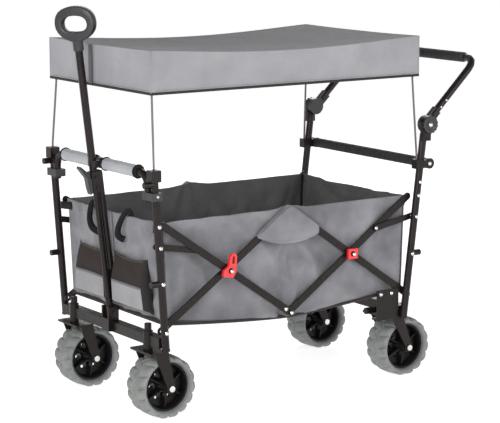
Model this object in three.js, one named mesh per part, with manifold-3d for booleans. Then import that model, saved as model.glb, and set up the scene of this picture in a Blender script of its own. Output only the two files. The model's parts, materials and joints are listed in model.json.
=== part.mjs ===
// Folding pull wagon for children, with a fabric basket, a canopy, a pull handle and a push handle.
// Millimetres. +X points to the rear, where the push handle is, +Y to the far side, +Z up.
// Sizes along X are counted from midway between the front and rear wheel centres. At the end the
// whole group moves along X, so that the origin is on the ground under the middle of the wagon's box.
// Near pieces lie at negative Y and far pieces at positive Y.

import * as THREE from 'three';
import { mergeVertices } from 'three/addons/utils/BufferGeometryUtils.js';
import Module from 'manifold-3d';

const wasm = await Module();
wasm.setup();

// ---- driving dimensions ----

const GAP = 0.3;                 // clearance between pieces that touch

const WHEEL_RADIUS = 90;
const TYRE_WIDTH = 94;
const RIM_RADIUS = 70;
const AXLE_RADIUS = 6;
const WHEEL_X = 424;             // half the wheelbase
const WHEEL_Y = 209;
const CASTER_TRAIL = 41;
const FORK_INSIDE = 102;         // between the two legs of a fork
const FORK_PLATE = 5;
const LEG_WIDTH = 41;            // of a fork's leg at its crown
const CROWN_TOP = 196.7;

const POST_Y = 283;
const POST_RADIUS = 11;
const FOOT_CAP = POST_RADIUS + 1;    // radius of the plug under a post
const FOOT_HEIGHT = 6;
const FRONT_POST = { foot: [-452, 200], head: [-486.4, 690] };
const REAR_POST = { foot: [386, 197], head: [455.5, 766] };
const BEAM_HEIGHT = 30;
const BEAM_BASE = CROWN_TOP + GAP;
const FRONT_BEAM_BASE = BEAM_BASE + 14;

const PIVOT_Z = 258;             // lower pivots of the side scissors
const FRONT_PIVOT_X = -455.7;
const REAR_PIVOT_X = 410.7;
const TOP_JOINT_Z = 556;         // centre top joint, open wagon
const FOLDED_SPAN = 264;         // between the lower pivots, folded wagon
const BAR_HEIGHT = 21;
const BAR_THICK = 5;
const BAR_PLANES = [259.9, 265.2, 270.5];   // inner faces of the three layers of bars
const LINK_POST_Z = 497;

const BASKET = { frontTop: -452, rearTop: 402, frontFoot: -437, rearFoot: 392, halfWidth: 258.5 };
const BASKET_TOP = 560;
const BASKET_FOOT = 242;
const FABRIC = 5;                // thickness of the fabric solids

const CANOPY = { front: -492, rear: 432, halfWidth: 281, foot: 915, top: 1034 };
const ROD_RADIUS = 3;

const ARMREST_X = -488;
const ARMREST_Z = 699;
const ARMREST_LEG_Y = 256;
const SLEEVE_RADIUS = 18;

const POLE_PIVOT = [-464, 268];
const POLE_LEAN = THREE.MathUtils.degToRad(6.8);
const POLE_RADIUS = 11;
const ROD_POLE_RADIUS = 8;
const CLAMP_START = 350;         // along the pole, from its pivot
const GRIP_START = 790;
const GRIP_TURN = THREE.MathUtils.degToRad(35);   // of the pull grip about its pole

const DISC_X = 466;
const DISC_Z = 770;
const DISC_RADIUS = 26;
const PUSH_ARM_Y = 276;
const PUSH_SLOPE = THREE.MathUtils.degToRad(43.5);
const PUSH_LENGTH = 268;
const GRIP_RADIUS = 15;

const STEEL = { color: 0x2b2523, roughness: 0.45, metalness: 0.6 };
const BLACK_PLASTIC = { color: 0x17171a, roughness: 0.6, metalness: 0 };
const TYRE_RUBBER = { color: 0x6b706e, roughness: 0.85, metalness: 0 };
const HUB_PLASTIC = { color: 0x121013, roughness: 0.5, metalness: 0 };
const BOLT_STEEL = { color: 0xb9bcc0, roughness: 0.3, metalness: 1 };
const GREY_FABRIC = { color: 0x83848a, roughness: 0.95, metalness: 0 };
const DARK_FOAM = { color: 0x2e2e31, roughness: 0.9, metalness: 0 };
const RED_PLASTIC = { color: 0xd8202a, roughness: 0.4, metalness: 0 };

// ---- solids ----

function signedVolume(geometry) {
  const place = geometry.getAttribute('position');
  const order = geometry.getIndex().array;
  const [a, b, c] = [new THREE.Vector3(), new THREE.Vector3(), new THREE.Vector3()];
  let volume = 0;
  for (let i = 0; i < order.length; i += 3) {
    a.fromBufferAttribute(place, order[i]);
    b.fromBufferAttribute(place, order[i + 1]);
    c.fromBufferAttribute(place, order[i + 2]);
    volume += a.dot(b.cross(c));
  }
  return volume;
}

// Turns a closed three.js geometry into a solid with its faces pointing out.
function solid(geometry) {
  const bare = geometry.clone();
  for (const name of Object.keys(bare.attributes)) {
    if (name !== 'position') bare.deleteAttribute(name);
  }
  const merged = mergeVertices(bare, 1e-4);
  const vertices = new Float32Array(merged.getAttribute('position').array);
  const triangles = new Uint32Array(merged.getIndex().array);
  if (signedVolume(merged) < 0) {
    for (let i = 0; i < triangles.length; i += 3) {
      [triangles[i + 1], triangles[i + 2]] = [triangles[i + 2], triangles[i + 1]];
    }
  }
  return new wasm.Manifold(new wasm.Mesh({ numProp: 3, vertProperties: vertices, triVerts: triangles }));
}

function geometryOf(body) {
  const mesh = body.getMesh();
  const geometry = new THREE.BufferGeometry();
  geometry.setAttribute('position', new THREE.BufferAttribute(mesh.vertProperties, 3));
  geometry.setIndex(new THREE.BufferAttribute(mesh.triVerts, 1));
  geometry.computeVertexNormals();
  return geometry;
}

function join(first, ...others) {
  return others.reduce((sum, other) => sum.add(other), first);
}

function cut(first, ...others) {
  return others.reduce((rest, other) => rest.subtract(other), first);
}

// A block between two opposite corners.
function block(low, high) {
  const size = high.map((value, axis) => value - low[axis]);
  const box = new THREE.BoxGeometry(...size);
  box.translate((low[0] + high[0]) / 2, (low[1] + high[1]) / 2, (low[2] + high[2]) / 2);
  return solid(box);
}

// A straight round bar from one point to another.
function rod(from, to, radius, sides = 12) {
  const start = new THREE.Vector3(...from);
  const along = new THREE.Vector3(...to).sub(start);
  const bar = new THREE.CylinderGeometry(radius, radius, along.length(), sides);
  const turn = new THREE.Quaternion().setFromUnitVectors(new THREE.Vector3(0, 1, 0), along.clone().normalize());
  bar.applyQuaternion(turn);
  bar.translate(...start.addScaledVector(along, 0.5).toArray());
  return solid(bar);
}

// A round tube through straight stretches, with a rounded bend at each inner point.
function bentTube(points, radius, bend, steps, sides) {
  const corners = points.map((point) => new THREE.Vector3(...point));
  const path = new THREE.CurvePath();
  let start = corners[0];
  for (let i = 1; i < corners.length - 1; i += 1) {
    const before = corners[i].clone().lerp(corners[i - 1], bend / corners[i].distanceTo(corners[i - 1]));
    const after = corners[i].clone().lerp(corners[i + 1], bend / corners[i].distanceTo(corners[i + 1]));
    path.add(new THREE.LineCurve3(start, before));
    path.add(new THREE.QuadraticBezierCurve3(before, corners[i], after));
    start = after;
  }
  path.add(new THREE.LineCurve3(start, corners[corners.length - 1]));
  const section = new THREE.Shape();
  section.absarc(0, 0, radius, 0, 2 * Math.PI);
  const options = { steps, curveSegments: sides / 2, extrudePath: path };
  return solid(new THREE.ExtrudeGeometry(section, options));
}

// A plate cut to an outline in X and Z, between two Y values.
function plate(outline, lowY, highY, curveSegments = 8) {
  const options = { depth: highY - lowY, bevelEnabled: false, curveSegments };
  const geometry = new THREE.ExtrudeGeometry(outline, options);
  geometry.rotateX(Math.PI / 2);
  geometry.translate(0, highY, 0);
  return solid(geometry);
}

// A turned piece about the Y axis, from a closed list of [radius, y] points.
function turned(profile, segments = 24) {
  const points = profile.map(([radius, y]) => new THREE.Vector2(radius, y));
  return solid(new THREE.LatheGeometry(points, segments));
}

// A piece at the near side and its mirror image at the far side.
function bothSides(body) {
  return join(body, body.mirror([0, 1, 0]));
}

const wagon = new THREE.Group();
wagon.name = 'wagon';

function add(name, body, finish, parent = wagon) {
  const mesh = new THREE.Mesh(geometryOf(body), new THREE.MeshStandardMaterial(finish));
  mesh.name = name;
  parent.add(mesh);
  return mesh;
}

const SIDES = [['near', -1], ['far', 1]];

// A body built for the near side, or mirrored for the far one.
function onSide(body, side) {
  return side < 0 ? body : body.mirror([0, 1, 0]);
}

// The X of a leaning post at a height.
function postX(post, z) {
  const share = (z - post.foot[1]) / (post.head[1] - post.foot[1]);
  return post.foot[0] + share * (post.head[0] - post.foot[0]);
}

function postPoint(post, z) {
  return [postX(post, z), -POST_Y, z];
}

// ---- wheels, with their axle along Y through the wheel's own origin ----

function tyre() {
  const half = TYRE_WIDTH / 2;
  const shoulder = half - 12;
  return turned([
    [RIM_RADIUS, -shoulder],
    [RIM_RADIUS + 6, -half + 3],
    [WHEEL_RADIUS - 18, -half],
    [WHEEL_RADIUS - 6, -half + 2],
    [WHEEL_RADIUS, -shoulder],
    [WHEEL_RADIUS, shoulder],
    [WHEEL_RADIUS - 6, half - 2],
    [WHEEL_RADIUS - 18, half],
    [RIM_RADIUS + 6, half - 3],
    [RIM_RADIUS, shoulder],
    [RIM_RADIUS, -shoulder],
  ]);
}

function hub() {
  const rim = RIM_RADIUS - GAP;
  const rimHalf = 30;
  const bossRadius = 16;
  const bossHalf = FORK_INSIDE / 2 - 3;
  const web = 5;
  const bore = AXLE_RADIUS + GAP;
  const body = turned([
    [bore, -bossHalf],
    [bossRadius, -bossHalf],
    [bossRadius + 3, -web],
    [rim - 11, -web],
    [rim - 5, -rimHalf],
    [rim, -rimHalf],
    [rim, rimHalf],
    [rim - 5, rimHalf],
    [rim - 11, web],
    [bossRadius + 3, web],
    [bossRadius, bossHalf],
    [bore, bossHalf],
    [bore, -bossHalf],
  ]);
  const spokes = 6;
  const windows = [];
  for (let i = 0; i < spokes; i += 1) {
    const angle = (2 * Math.PI * i) / spokes;
    const [x, z] = [33 * Math.cos(angle), 33 * Math.sin(angle)];
    windows.push(rod([x, -web - 1, z], [x, web + 1, z], 10, 8));
  }
  return cut(body, ...windows);
}

function axleBolt() {
  const inside = FORK_INSIDE / 2 + FORK_PLATE + GAP;
  const end = inside + 5;
  const head = 9;
  return turned([
    [0, -end],
    [head, -end],
    [head, -inside],
    [AXLE_RADIUS, -inside],
    [AXLE_RADIUS, inside],
    [head, inside],
    [head, end],
    [0, end],
  ], 12);
}

// One slanted leg, from the rear part of the crown to a round end at the axle.
function forkLeg(crownRear) {
  const foot = 14;
  const front = crownRear - LEG_WIDTH;
  const outline = new THREE.Shape();
  outline.moveTo(front, CROWN_TOP - WHEEL_RADIUS);
  outline.lineTo(front, CROWN_TOP - WHEEL_RADIUS - 12);
  outline.lineTo(-foot + 1, 4);
  outline.absarc(0, 0, foot, Math.PI - 0.3, 0.1, false);
  outline.lineTo(crownRear, CROWN_TOP - WHEEL_RADIUS - 12);
  outline.lineTo(crownRear, CROWN_TOP - WHEEL_RADIUS);
  const leg = plate(outline, -FORK_INSIDE / 2 - FORK_PLATE, -FORK_INSIDE / 2);
  const bore = rod([0, -FORK_INSIDE, 0], [0, FORK_INSIDE, 0], AXLE_RADIUS + GAP);
  return cut(leg, bore);
}

function fork(crownFront, crownRear) {
  const half = FORK_INSIDE / 2 + FORK_PLATE;
  const height = CROWN_TOP - WHEEL_RADIUS;
  const crown = block([crownFront, -half, height - 6], [crownRear, half, height]);
  return join(crown, bothSides(forkLeg(crownRear)));
}

function addWheel(parent, name) {
  add(`tyre_${name}`, tyre(), TYRE_RUBBER, parent);
  add(`hub_${name}`, hub(), HUB_PLASTIC, parent);
}

function wheelGroup(x, side) {
  const group = new THREE.Group();
  group.position.set(x, side * WHEEL_Y, WHEEL_RADIUS);
  wagon.add(group);
  return group;
}

const SLEEVE_BASE = CROWN_TOP + 3;
const SLEEVE_TOP = 252;
const STEM_RADIUS = 8;

for (const [name, side] of SIDES) {
  const front = wheelGroup(-WHEEL_X, side);
  addWheel(front, `front_${name}`);
  add(`axle_front_${name}`, axleBolt(), BOLT_STEEL, front);
  const stemHead = SLEEVE_TOP - WHEEL_RADIUS + GAP;
  const stem = rod([-CASTER_TRAIL, 0, 100], [-CASTER_TRAIL, 0, stemHead + 2], STEM_RADIUS);
  const washer = rod([-CASTER_TRAIL, 0, 106], [-CASTER_TRAIL, 0, SLEEVE_BASE - WHEEL_RADIUS - GAP], 13);
  const cap = rod([-CASTER_TRAIL, 0, stemHead], [-CASTER_TRAIL, 0, stemHead + 20], 10);
  add(`caster_fork_${name}`, join(fork(-66, -8), stem, washer, cap), STEEL, front);

  const rear = wheelGroup(WHEEL_X, side);
  addWheel(rear, `rear_${name}`);
  add(`axle_rear_${name}`, axleBolt(), BOLT_STEEL, rear);
  const shelf = block([-132, -66, CROWN_TOP - 96], [-52, -40, CROWN_TOP - 90]);
  const wall = block([-132, -66.5, CROWN_TOP - 96], [-52, -61.5, 192]);
  const seat = join(fork(-92, -22), shelf, wall);
  add(`rear_fork_${name}`, onSide(seat, side), STEEL, rear);
}

// ---- front frame ----

const POST_INSIDE = POST_Y - POST_RADIUS - GAP;
const STEM_X = -WHEEL_X - CASTER_TRAIL;

function frontPost() {
  const end = FRONT_BEAM_BASE - GAP;
  const tube = rod(postPoint(FRONT_POST, end - 2), postPoint(FRONT_POST, 690), POST_RADIUS);
  const foot = rod(postPoint(FRONT_POST, end - FOOT_HEIGHT), postPoint(FRONT_POST, end), FOOT_CAP);
  const [headX] = postPoint(FRONT_POST, 700);
  const socket = block([headX - 15, -POST_Y - 15, 680], [headX + 15, -POST_Y + 14, 712]);
  const hole = rod([headX, -POST_Y, 700], [headX, -POST_Y, 720], ROD_RADIUS + GAP, 8);
  const pegs = [396, 672].map((z) => {
    const [x] = postPoint(FRONT_POST, z);
    return rod([x, -POST_Y, z], [x - 34, -POST_Y, z], 9, 12);
  });
  return cut(join(tube, foot, socket, ...pegs), hole);
}

const BEAM_FRONT_X = postX(FRONT_POST, FRONT_BEAM_BASE + BEAM_HEIGHT / 2) - BEAM_HEIGHT / 2;

function frontBeam() {
  const back = BEAM_FRONT_X + BEAM_HEIGHT;
  const top = FRONT_BEAM_BASE + BEAM_HEIGHT;
  const beam = block([BEAM_FRONT_X, -POST_INSIDE, FRONT_BEAM_BASE], [back, POST_INSIDE, top]);
  const sleeve = rod([STEM_X, -WHEEL_Y, SLEEVE_BASE], [STEM_X, -WHEEL_Y, SLEEVE_TOP], 14);
  const bore = rod([STEM_X, -WHEEL_Y, 180], [STEM_X, -WHEEL_Y, 270], STEM_RADIUS + GAP);
  const crownRoom = rod([STEM_X, -WHEEL_Y, 180], [STEM_X, -WHEEL_Y, SLEEVE_BASE], 16);
  return cut(join(beam, bothSides(sleeve)), bothSides(bore), bothSides(crownRoom));
}

function poleBracket() {
  const front = BEAM_FRONT_X - GAP;
  const beamTop = FRONT_BEAM_BASE + BEAM_HEIGHT + GAP;
  const saddle = block([front - 12, -20, 212], [front, 20, beamTop + 8]);
  const ear = block([front - 12, -20, beamTop], [-447, -14, 284]);
  const pin = rod([POLE_PIVOT[0], -24, POLE_PIVOT[1]], [POLE_PIVOT[0], 24, POLE_PIVOT[1]], 5);
  return join(saddle, bothSides(ear), pin);
}

function armrestPath() {
  return [
    [ARMREST_X, -ARMREST_LEG_Y, 622],
    [ARMREST_X, -ARMREST_LEG_Y, ARMREST_Z],
    [ARMREST_X, ARMREST_LEG_Y, ARMREST_Z],
    [ARMREST_X, ARMREST_LEG_Y, 622],
  ];
}

function sleeve(fromY, toY) {
  const outer = rod([ARMREST_X, fromY, ARMREST_Z], [ARMREST_X, toY, ARMREST_Z], SLEEVE_RADIUS);
  const inner = rod([ARMREST_X, fromY - 5, ARMREST_Z], [ARMREST_X, toY + 5, ARMREST_Z], POST_RADIUS + GAP);
  return cut(outer, inner);
}

// Two halves bolted round the post and the armrest's leg.
function armrestClamp() {
  const low = 628;
  const high = 650;
  const [x] = postPoint(FRONT_POST, 642);
  const body = block([x - 17, -POST_Y - 14, low], [x + 15, -ARMREST_LEG_Y + 14, high]);
  const post = rod(postPoint(FRONT_POST, 600), postPoint(FRONT_POST, 675), POST_RADIUS + GAP);
  const leg = rod([ARMREST_X, -ARMREST_LEG_Y, 600], [ARMREST_X, -ARMREST_LEG_Y, 675], POST_RADIUS + GAP);
  return cut(body, post, leg);
}

// Spring clip on the middle of the armrest that the upright pole rests in.
function poleClip() {
  const reach = 21;
  const ring = rod([ARMREST_X, -11, ARMREST_Z], [ARMREST_X, 11, ARMREST_Z], 16);
  const tube = rod([ARMREST_X, -20, ARMREST_Z], [ARMREST_X, 20, ARMREST_Z], POST_RADIUS + GAP);
  const jaw = block([ARMREST_X - reach - 12, -16, 690], [ARMREST_X - POST_RADIUS, 16, 708]);
  const poleRoom = poleRod(300, 560, POLE_RADIUS + 1.2);
  const mouth = block([ARMREST_X - 60, -POLE_RADIUS - 1.2, 680], [ARMREST_X - reach - 3, POLE_RADIUS + 1.2, 720]);
  return cut(join(ring, jaw), tube, poleRoom, mouth);
}

for (const [name, side] of SIDES) {
  add(`front_post_${name}`, onSide(frontPost(), side), STEEL);
}
add('front_axle_beam', frontBeam(), STEEL);
add('pull_bracket', poleBracket(), STEEL);
add('armrest_tube', bentTube(armrestPath(), POST_RADIUS, 46, 40, 12), STEEL);
for (const [name, side] of SIDES) {
  add(`armrest_sleeve_${name}`, onSide(sleeve(-208, -26), side), GREY_FABRIC);
  add(`armrest_clamp_${name}`, onSide(armrestClamp(), side), BLACK_PLASTIC);
}

// ---- pull handle, measured along the pole from its pivot ----

function polePoint(along, across = 0) {
  const [sin, cos] = [Math.sin(POLE_LEAN), Math.cos(POLE_LEAN)];
  return [POLE_PIVOT[0] - along * sin + across * cos, 0, POLE_PIVOT[1] + along * cos + across * sin];
}

function poleRod(from, to, radius, across = 0) {
  return rod(polePoint(from, across), polePoint(to, across), radius);
}

// A block that lies along the pole.
function poleBlock(from, to, front, back, halfY) {
  const outline = new THREE.Shape();
  const corners = [[from, front], [from, back], [to, back], [to, front]];
  corners.forEach(([along, across], index) => {
    const [x, , z] = polePoint(along, across);
    if (index === 0) outline.moveTo(x, z);
    else outline.lineTo(x, z);
  });
  return plate(outline, -halfY, halfY);
}

add('pole_clip', poleClip(), BLACK_PLASTIC);

const pinRoom = rod([POLE_PIVOT[0], -30, POLE_PIVOT[1]], [POLE_PIVOT[0], 30, POLE_PIVOT[1]], 5 + GAP);
const CLAMP_LENGTH = 62;
const POLE_OVERLAP = 200;        // the lower rod's length inside the upper tube, handle drawn out
const lowerRod = join(poleRod(-14, CLAMP_START + POLE_OVERLAP, ROD_POLE_RADIUS), poleRod(-16, 40, 10.5));
add('pull_pole_lower', cut(lowerRod, pinRoom), STEEL);

const SLIDE_TRAVEL = 80;
const rodRoom = poleRod(CLAMP_START - 10, CLAMP_START + POLE_OVERLAP + SLIDE_TRAVEL + 5, ROD_POLE_RADIUS + GAP);
const upperTube = poleRod(CLAMP_START + CLAMP_LENGTH + GAP, GRIP_START, POLE_RADIUS);
add('pull_pole_upper', cut(upperTube, rodRoom), STEEL);

const STAY_RADIUS = 9;
const STAY_OFFSET = 18.5;
const stayTube = poleRod(122, CLAMP_START + 56, STAY_RADIUS, STAY_OFFSET);

const clampBody = poleBlock(CLAMP_START, CLAMP_START + CLAMP_LENGTH, -13, STAY_OFFSET + 3, 12.5);
const boltHeads = [CLAMP_START + 16, CLAMP_START + 46].map((along) => {
  const [x, , z] = polePoint(along, 1);
  return rod([x, -15.5, z], [x, 15.5, z], 5, 12);
});
add('pull_clamp', cut(join(clampBody, stayTube, ...boltHeads), rodRoom), STEEL);

// Cam lever on the front of the clamp, with its free end up and forward.
function camLever() {
  const outline = new THREE.Shape();
  const points = [[8, -14], [2, -21], [22, -25], [50, -27], [82, -47], [88, -44], [64, -20], [44, -14]];
  points.forEach(([along, across], index) => {
    const [x, , z] = polePoint(CLAMP_START + along - 4, across);
    if (index === 0) outline.moveTo(x, z);
    else outline.lineTo(x, z);
  });
  return plate(outline, -11, 11);
}

add('pull_lever', camLever(), BLACK_PLASTIC);

// D-shaped grip: a flat oval loop with a thicker round outer rim.
function pullGrip() {
  const height = 98;
  const halfWidth = 60;
  const outline = new THREE.Shape();
  outline.moveTo(-14, 0);
  outline.bezierCurveTo(-30, 6, -halfWidth, 18, -halfWidth, 50);
  outline.bezierCurveTo(-halfWidth, 84, -34, height, 0, height);
  outline.bezierCurveTo(34, height, halfWidth, 84, halfWidth, 50);
  outline.bezierCurveTo(halfWidth, 18, 30, 6, 14, 0);
  const hole = new THREE.Path();
  hole.moveTo(0, 26);
  hole.bezierCurveTo(26, 26, 38, 34, 38, 48);
  hole.bezierCurveTo(38, 64, 24, 72, 0, 72);
  hole.bezierCurveTo(-24, 72, -38, 64, -38, 48);
  hole.bezierCurveTo(-38, 34, -26, 26, 0, 26);
  outline.holes.push(hole);
  const options = { depth: 18, bevelEnabled: true, bevelThickness: 4, bevelSize: 4, bevelSegments: 2, curveSegments: 7 };
  options.bevelOffset = -4;
  const loop = new THREE.ExtrudeGeometry(outline, options);
  loop.translate(0, 0, -9);
  loop.rotateX(Math.PI / 2);
  loop.rotateZ(Math.PI / 2 + GRIP_TURN);
  loop.rotateY(-POLE_LEAN);
  loop.translate(...polePoint(GRIP_START - 8));
  const collar = poleRod(GRIP_START - 34, GRIP_START - 4, 15);
  const tubeRoom = poleRod(GRIP_START - 60, GRIP_START + GAP, POLE_RADIUS + GAP);
  return cut(join(solid(loop), collar), tubeRoom);
}

add('pull_grip', pullGrip(), BLACK_PLASTIC);

// ---- rear frame ----

const BEAM_REAR_X = postX(REAR_POST, BEAM_BASE + BEAM_HEIGHT / 2);
const REAR_BAR_X = 469;
const REAR_BAR_Z = 653;
const REAR_ROD_X = 427;

function rearPost() {
  const end = BEAM_BASE - GAP;
  const tube = rod(postPoint(REAR_POST, end - 2), postPoint(REAR_POST, 742), POST_RADIUS);
  const foot = rod(postPoint(REAR_POST, end - FOOT_HEIGHT), postPoint(REAR_POST, end), FOOT_CAP);
  const lug = block([440, -POST_Y - 14, 722], [DISC_X + 4, -POST_Y - GAP / 2, DISC_Z]);
  const disc = rod([DISC_X, -POST_Y - 14, DISC_Z], [DISC_X, -POST_Y - GAP / 2, DISC_Z], DISC_RADIUS, 24);
  const socketTop = 668;
  const socket = block([REAR_ROD_X - 9, -POST_Y - 13, 640], [REAR_ROD_X + 16, -POST_Y + 11, socketTop]);
  const hole = rod([REAR_ROD_X, -POST_Y, 652], [REAR_ROD_X, -POST_Y, 680], ROD_RADIUS + GAP, 8);
  const pegX = postX(REAR_POST, 386);
  const peg = rod([pegX, -POST_Y, 386], [pegX + 34, -POST_Y, 386], 9, 12);
  return cut(join(tube, foot, lug, disc, socket, peg), hole);
}

function rearBeam() {
  const half = BEAM_HEIGHT / 2;
  const top = BEAM_BASE + BEAM_HEIGHT;
  const beam = block([BEAM_REAR_X - half, -POST_INSIDE, BEAM_BASE], [BEAM_REAR_X + half, POST_INSIDE, top]);
  const stub = rod([BEAM_REAR_X - 112, -238, 217], [BEAM_REAR_X + 44, -238, 217], 10);
  return join(beam, bothSides(stub));
}

// Bracket that carries the padded bar behind a rear post.
function rearBarBracket() {
  const [x] = postPoint(REAR_POST, REAR_BAR_Z);
  const disc = rod([REAR_BAR_X, -POST_Y - 13, REAR_BAR_Z], [REAR_BAR_X, -POST_INSIDE + 1, REAR_BAR_Z], 16, 18);
  const arm = block([x + 2, -POST_Y - 13, REAR_BAR_Z - 12], [REAR_BAR_X, -POST_INSIDE + 1, REAR_BAR_Z + 12]);
  const post = rod(postPoint(REAR_POST, 600), postPoint(REAR_POST, 700), POST_RADIUS + GAP);
  const socketRoom = block([REAR_ROD_X - 12, -POST_Y - 20, 630], [REAR_ROD_X + 16 + GAP, -POST_Y + 30, 680]);
  return cut(join(disc, arm), post, socketRoom);
}

for (const [name, side] of SIDES) {
  add(`rear_post_${name}`, onSide(rearPost(), side), STEEL);
}
add('rear_axle_beam', rearBeam(), STEEL);
const paddedBar = rod([REAR_BAR_X, -POST_INSIDE, REAR_BAR_Z], [REAR_BAR_X, POST_INSIDE, REAR_BAR_Z], GRIP_RADIUS);
add('rear_bar', join(paddedBar, bothSides(rearBarBracket())), DARK_FOAM);

// ---- push handle ----

function pushPoint(along, y) {
  return [DISC_X + along * Math.cos(PUSH_SLOPE), y, DISC_Z + along * Math.sin(PUSH_SLOPE)];
}

function pushTube() {
  const path = [
    pushPoint(32, -PUSH_ARM_Y),
    pushPoint(PUSH_LENGTH, -PUSH_ARM_Y),
    pushPoint(PUSH_LENGTH, PUSH_ARM_Y),
    pushPoint(32, PUSH_ARM_Y),
  ];
  return bentTube(path, POST_RADIUS, 50, 56, 12);
}

// The moving half of the toothed joint, with a tongue that the arm is riveted to.
function pushJoint() {
  const inner = -POST_Y + GAP / 2;
  const disc = rod([DISC_X, inner, DISC_Z], [DISC_X, inner + 14, DISC_Z], DISC_RADIUS, 24);
  const start = new THREE.Vector3(...pushPoint(0, 0));
  const end = new THREE.Vector3(...pushPoint(58, 0));
  const across = new THREE.Vector3(-Math.sin(PUSH_SLOPE), 0, Math.cos(PUSH_SLOPE));
  const outline = new THREE.Shape();
  const corners = [[start, 14], [start, -14], [end, -14], [end, 14]];
  corners.forEach(([point, offset], index) => {
    const corner = point.clone().addScaledVector(across, offset);
    if (index === 0) outline.moveTo(corner.x, corner.z);
    else outline.lineTo(corner.x, corner.z);
  });
  const armRoom = rod(pushPoint(32 - GAP, -PUSH_ARM_Y), pushPoint(90, -PUSH_ARM_Y), POST_RADIUS + 3 * GAP);
  return cut(join(disc, plate(outline, inner, inner + 14)), armRoom);
}

const GRIP_HALF = PUSH_ARM_Y - 52;

function pushGrip() {
  const outer = rod(pushPoint(PUSH_LENGTH, -GRIP_HALF), pushPoint(PUSH_LENGTH, GRIP_HALF), GRIP_RADIUS);
  const inner = rod(pushPoint(PUSH_LENGTH, -300), pushPoint(PUSH_LENGTH, 300), POST_RADIUS + 2 * GAP);
  return cut(outer, inner);
}

add('push_tube', pushTube(), STEEL);
for (const [name, side] of SIDES) add(`push_joint_${name}`, onSide(pushJoint(), side), BLACK_PLASTIC);
add('push_grip', pushGrip(), DARK_FOAM);

// ---- side scissors ----

const CENTRE_X = (FRONT_PIVOT_X + REAR_PIVOT_X) / 2;
const HALF_SPAN = (REAR_PIVOT_X - FRONT_PIVOT_X) / 2;
const RISE = TOP_JOINT_Z - PIVOT_Z;
const BAR_LENGTH = Math.hypot(HALF_SPAN, RISE);
const PIN_RADIUS = 4;

// How far above the bars' crossing a short link's pin sits, so that the link spans the same
// distance on the open and on the folded wagon. The post's pin is given from the lower pivot.
function linkReach(postAcross, postUp) {
  const [cosOpen, sinOpen] = [HALF_SPAN / BAR_LENGTH, RISE / BAR_LENGTH];
  const cosShut = FOLDED_SPAN / 2 / BAR_LENGTH;
  const sinShut = Math.sqrt(1 - cosShut * cosShut);
  const across = postAcross * (cosOpen - cosShut);
  const up = postUp * (sinOpen - sinShut);
  const spread = 2 * BAR_LENGTH * (cosOpen * cosOpen - cosShut * cosShut);
  return (BAR_LENGTH * (across + up)) / (2 * across - 2 * up - spread);
}

// A flat bar with round ends between two [x, z] points, in one of the layers.
function flatBar(from, to, layer, height = BAR_HEIGHT, beyond = 0) {
  const angle = Math.atan2(to[1] - from[1], to[0] - from[0]);
  const radius = height / 2;
  const length = Math.hypot(to[0] - from[0], to[1] - from[1]) + beyond;
  const end = [from[0] + length * Math.cos(angle), from[1] + length * Math.sin(angle)];
  const outline = new THREE.Shape();
  outline.absarc(from[0], from[1], radius, angle + Math.PI / 2, angle + 1.5 * Math.PI);
  outline.absarc(end[0], end[1], radius, angle - Math.PI / 2, angle + Math.PI / 2);
  const inner = -BAR_PLANES[layer];
  return plate(outline, inner - BAR_THICK, inner, 6);
}

function pinHole([x, z]) {
  return rod([x, -290, z], [x, -250, z], PIN_RADIUS + GAP, 12);
}

// A pin with a round head outside the layer that it ends in.
function pin([x, z], fromLayer, toLayer) {
  const start = -BAR_PLANES[fromLayer] - BAR_THICK / 2;
  const face = -BAR_PLANES[toLayer] - BAR_THICK - GAP;
  return join(rod([x, start, z], [x, face, z], PIN_RADIUS, 12), rod([x, face, z], [x, face - 3, z], 8, 12));
}

const frontPivot = [FRONT_PIVOT_X, PIVOT_Z];
const rearPivot = [REAR_PIVOT_X, PIVOT_Z];
const centreTop = [CENTRE_X, TOP_JOINT_Z];
const centreFoot = [CENTRE_X, PIVOT_Z];
const frontHead = [FRONT_PIVOT_X, TOP_JOINT_Z];
const rearHead = [REAR_PIVOT_X, TOP_JOINT_Z];
const frontCross = [(FRONT_PIVOT_X + CENTRE_X) / 2, (PIVOT_Z + TOP_JOINT_Z) / 2];
const rearCross = [(REAR_PIVOT_X + CENTRE_X) / 2, (PIVOT_Z + TOP_JOINT_Z) / 2];

// A point on a falling bar, above its crossing with the rising bar.
function abovePoint(cross, head, reach) {
  const share = reach / (BAR_LENGTH / 2);
  return [cross[0] + (head[0] - cross[0]) * share, cross[1] + (head[1] - cross[1]) * share];
}

const frontLinkPost = [postX(FRONT_POST, LINK_POST_Z), LINK_POST_Z];
const rearLinkPost = [postX(REAR_POST, LINK_POST_Z), LINK_POST_Z];
const frontReach = linkReach(frontLinkPost[0] - FRONT_PIVOT_X, LINK_POST_Z - PIVOT_Z);
const rearReach = linkReach(REAR_PIVOT_X - rearLinkPost[0], LINK_POST_Z - PIVOT_Z);
const frontLinkBar = abovePoint(frontCross, frontHead, frontReach);
const rearLinkBar = abovePoint(rearCross, rearHead, rearReach);

const bars = {
  scissor_rise_front: cut(
    join(flatBar(frontPivot, centreTop, 0), pin(frontCross, 0, 2), pin(centreTop, 0, 1)),
    pinHole(frontPivot),
  ),
  scissor_fall_front: cut(
    join(flatBar(centreFoot, frontHead, 2, BAR_HEIGHT, -4)),
    pinHole(frontCross),
    pinHole(centreFoot),
  ),
  scissor_rise_rear: cut(
    join(flatBar(rearPivot, centreTop, 1)),
    pinHole(rearPivot),
    pinHole(centreTop),
    pinHole(rearCross),
  ),
  scissor_fall_rear: join(flatBar(centreFoot, rearHead, 0), pin(rearCross, 0, 1), pin(centreFoot, 0, 2)),
  link_front: cut(flatBar(frontLinkPost, frontLinkBar, 1, 18), pinHole(frontLinkPost)),
  link_rear: cut(flatBar(rearLinkPost, rearLinkBar, 1, 18), pinHole(rearLinkPost)),
};

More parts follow.
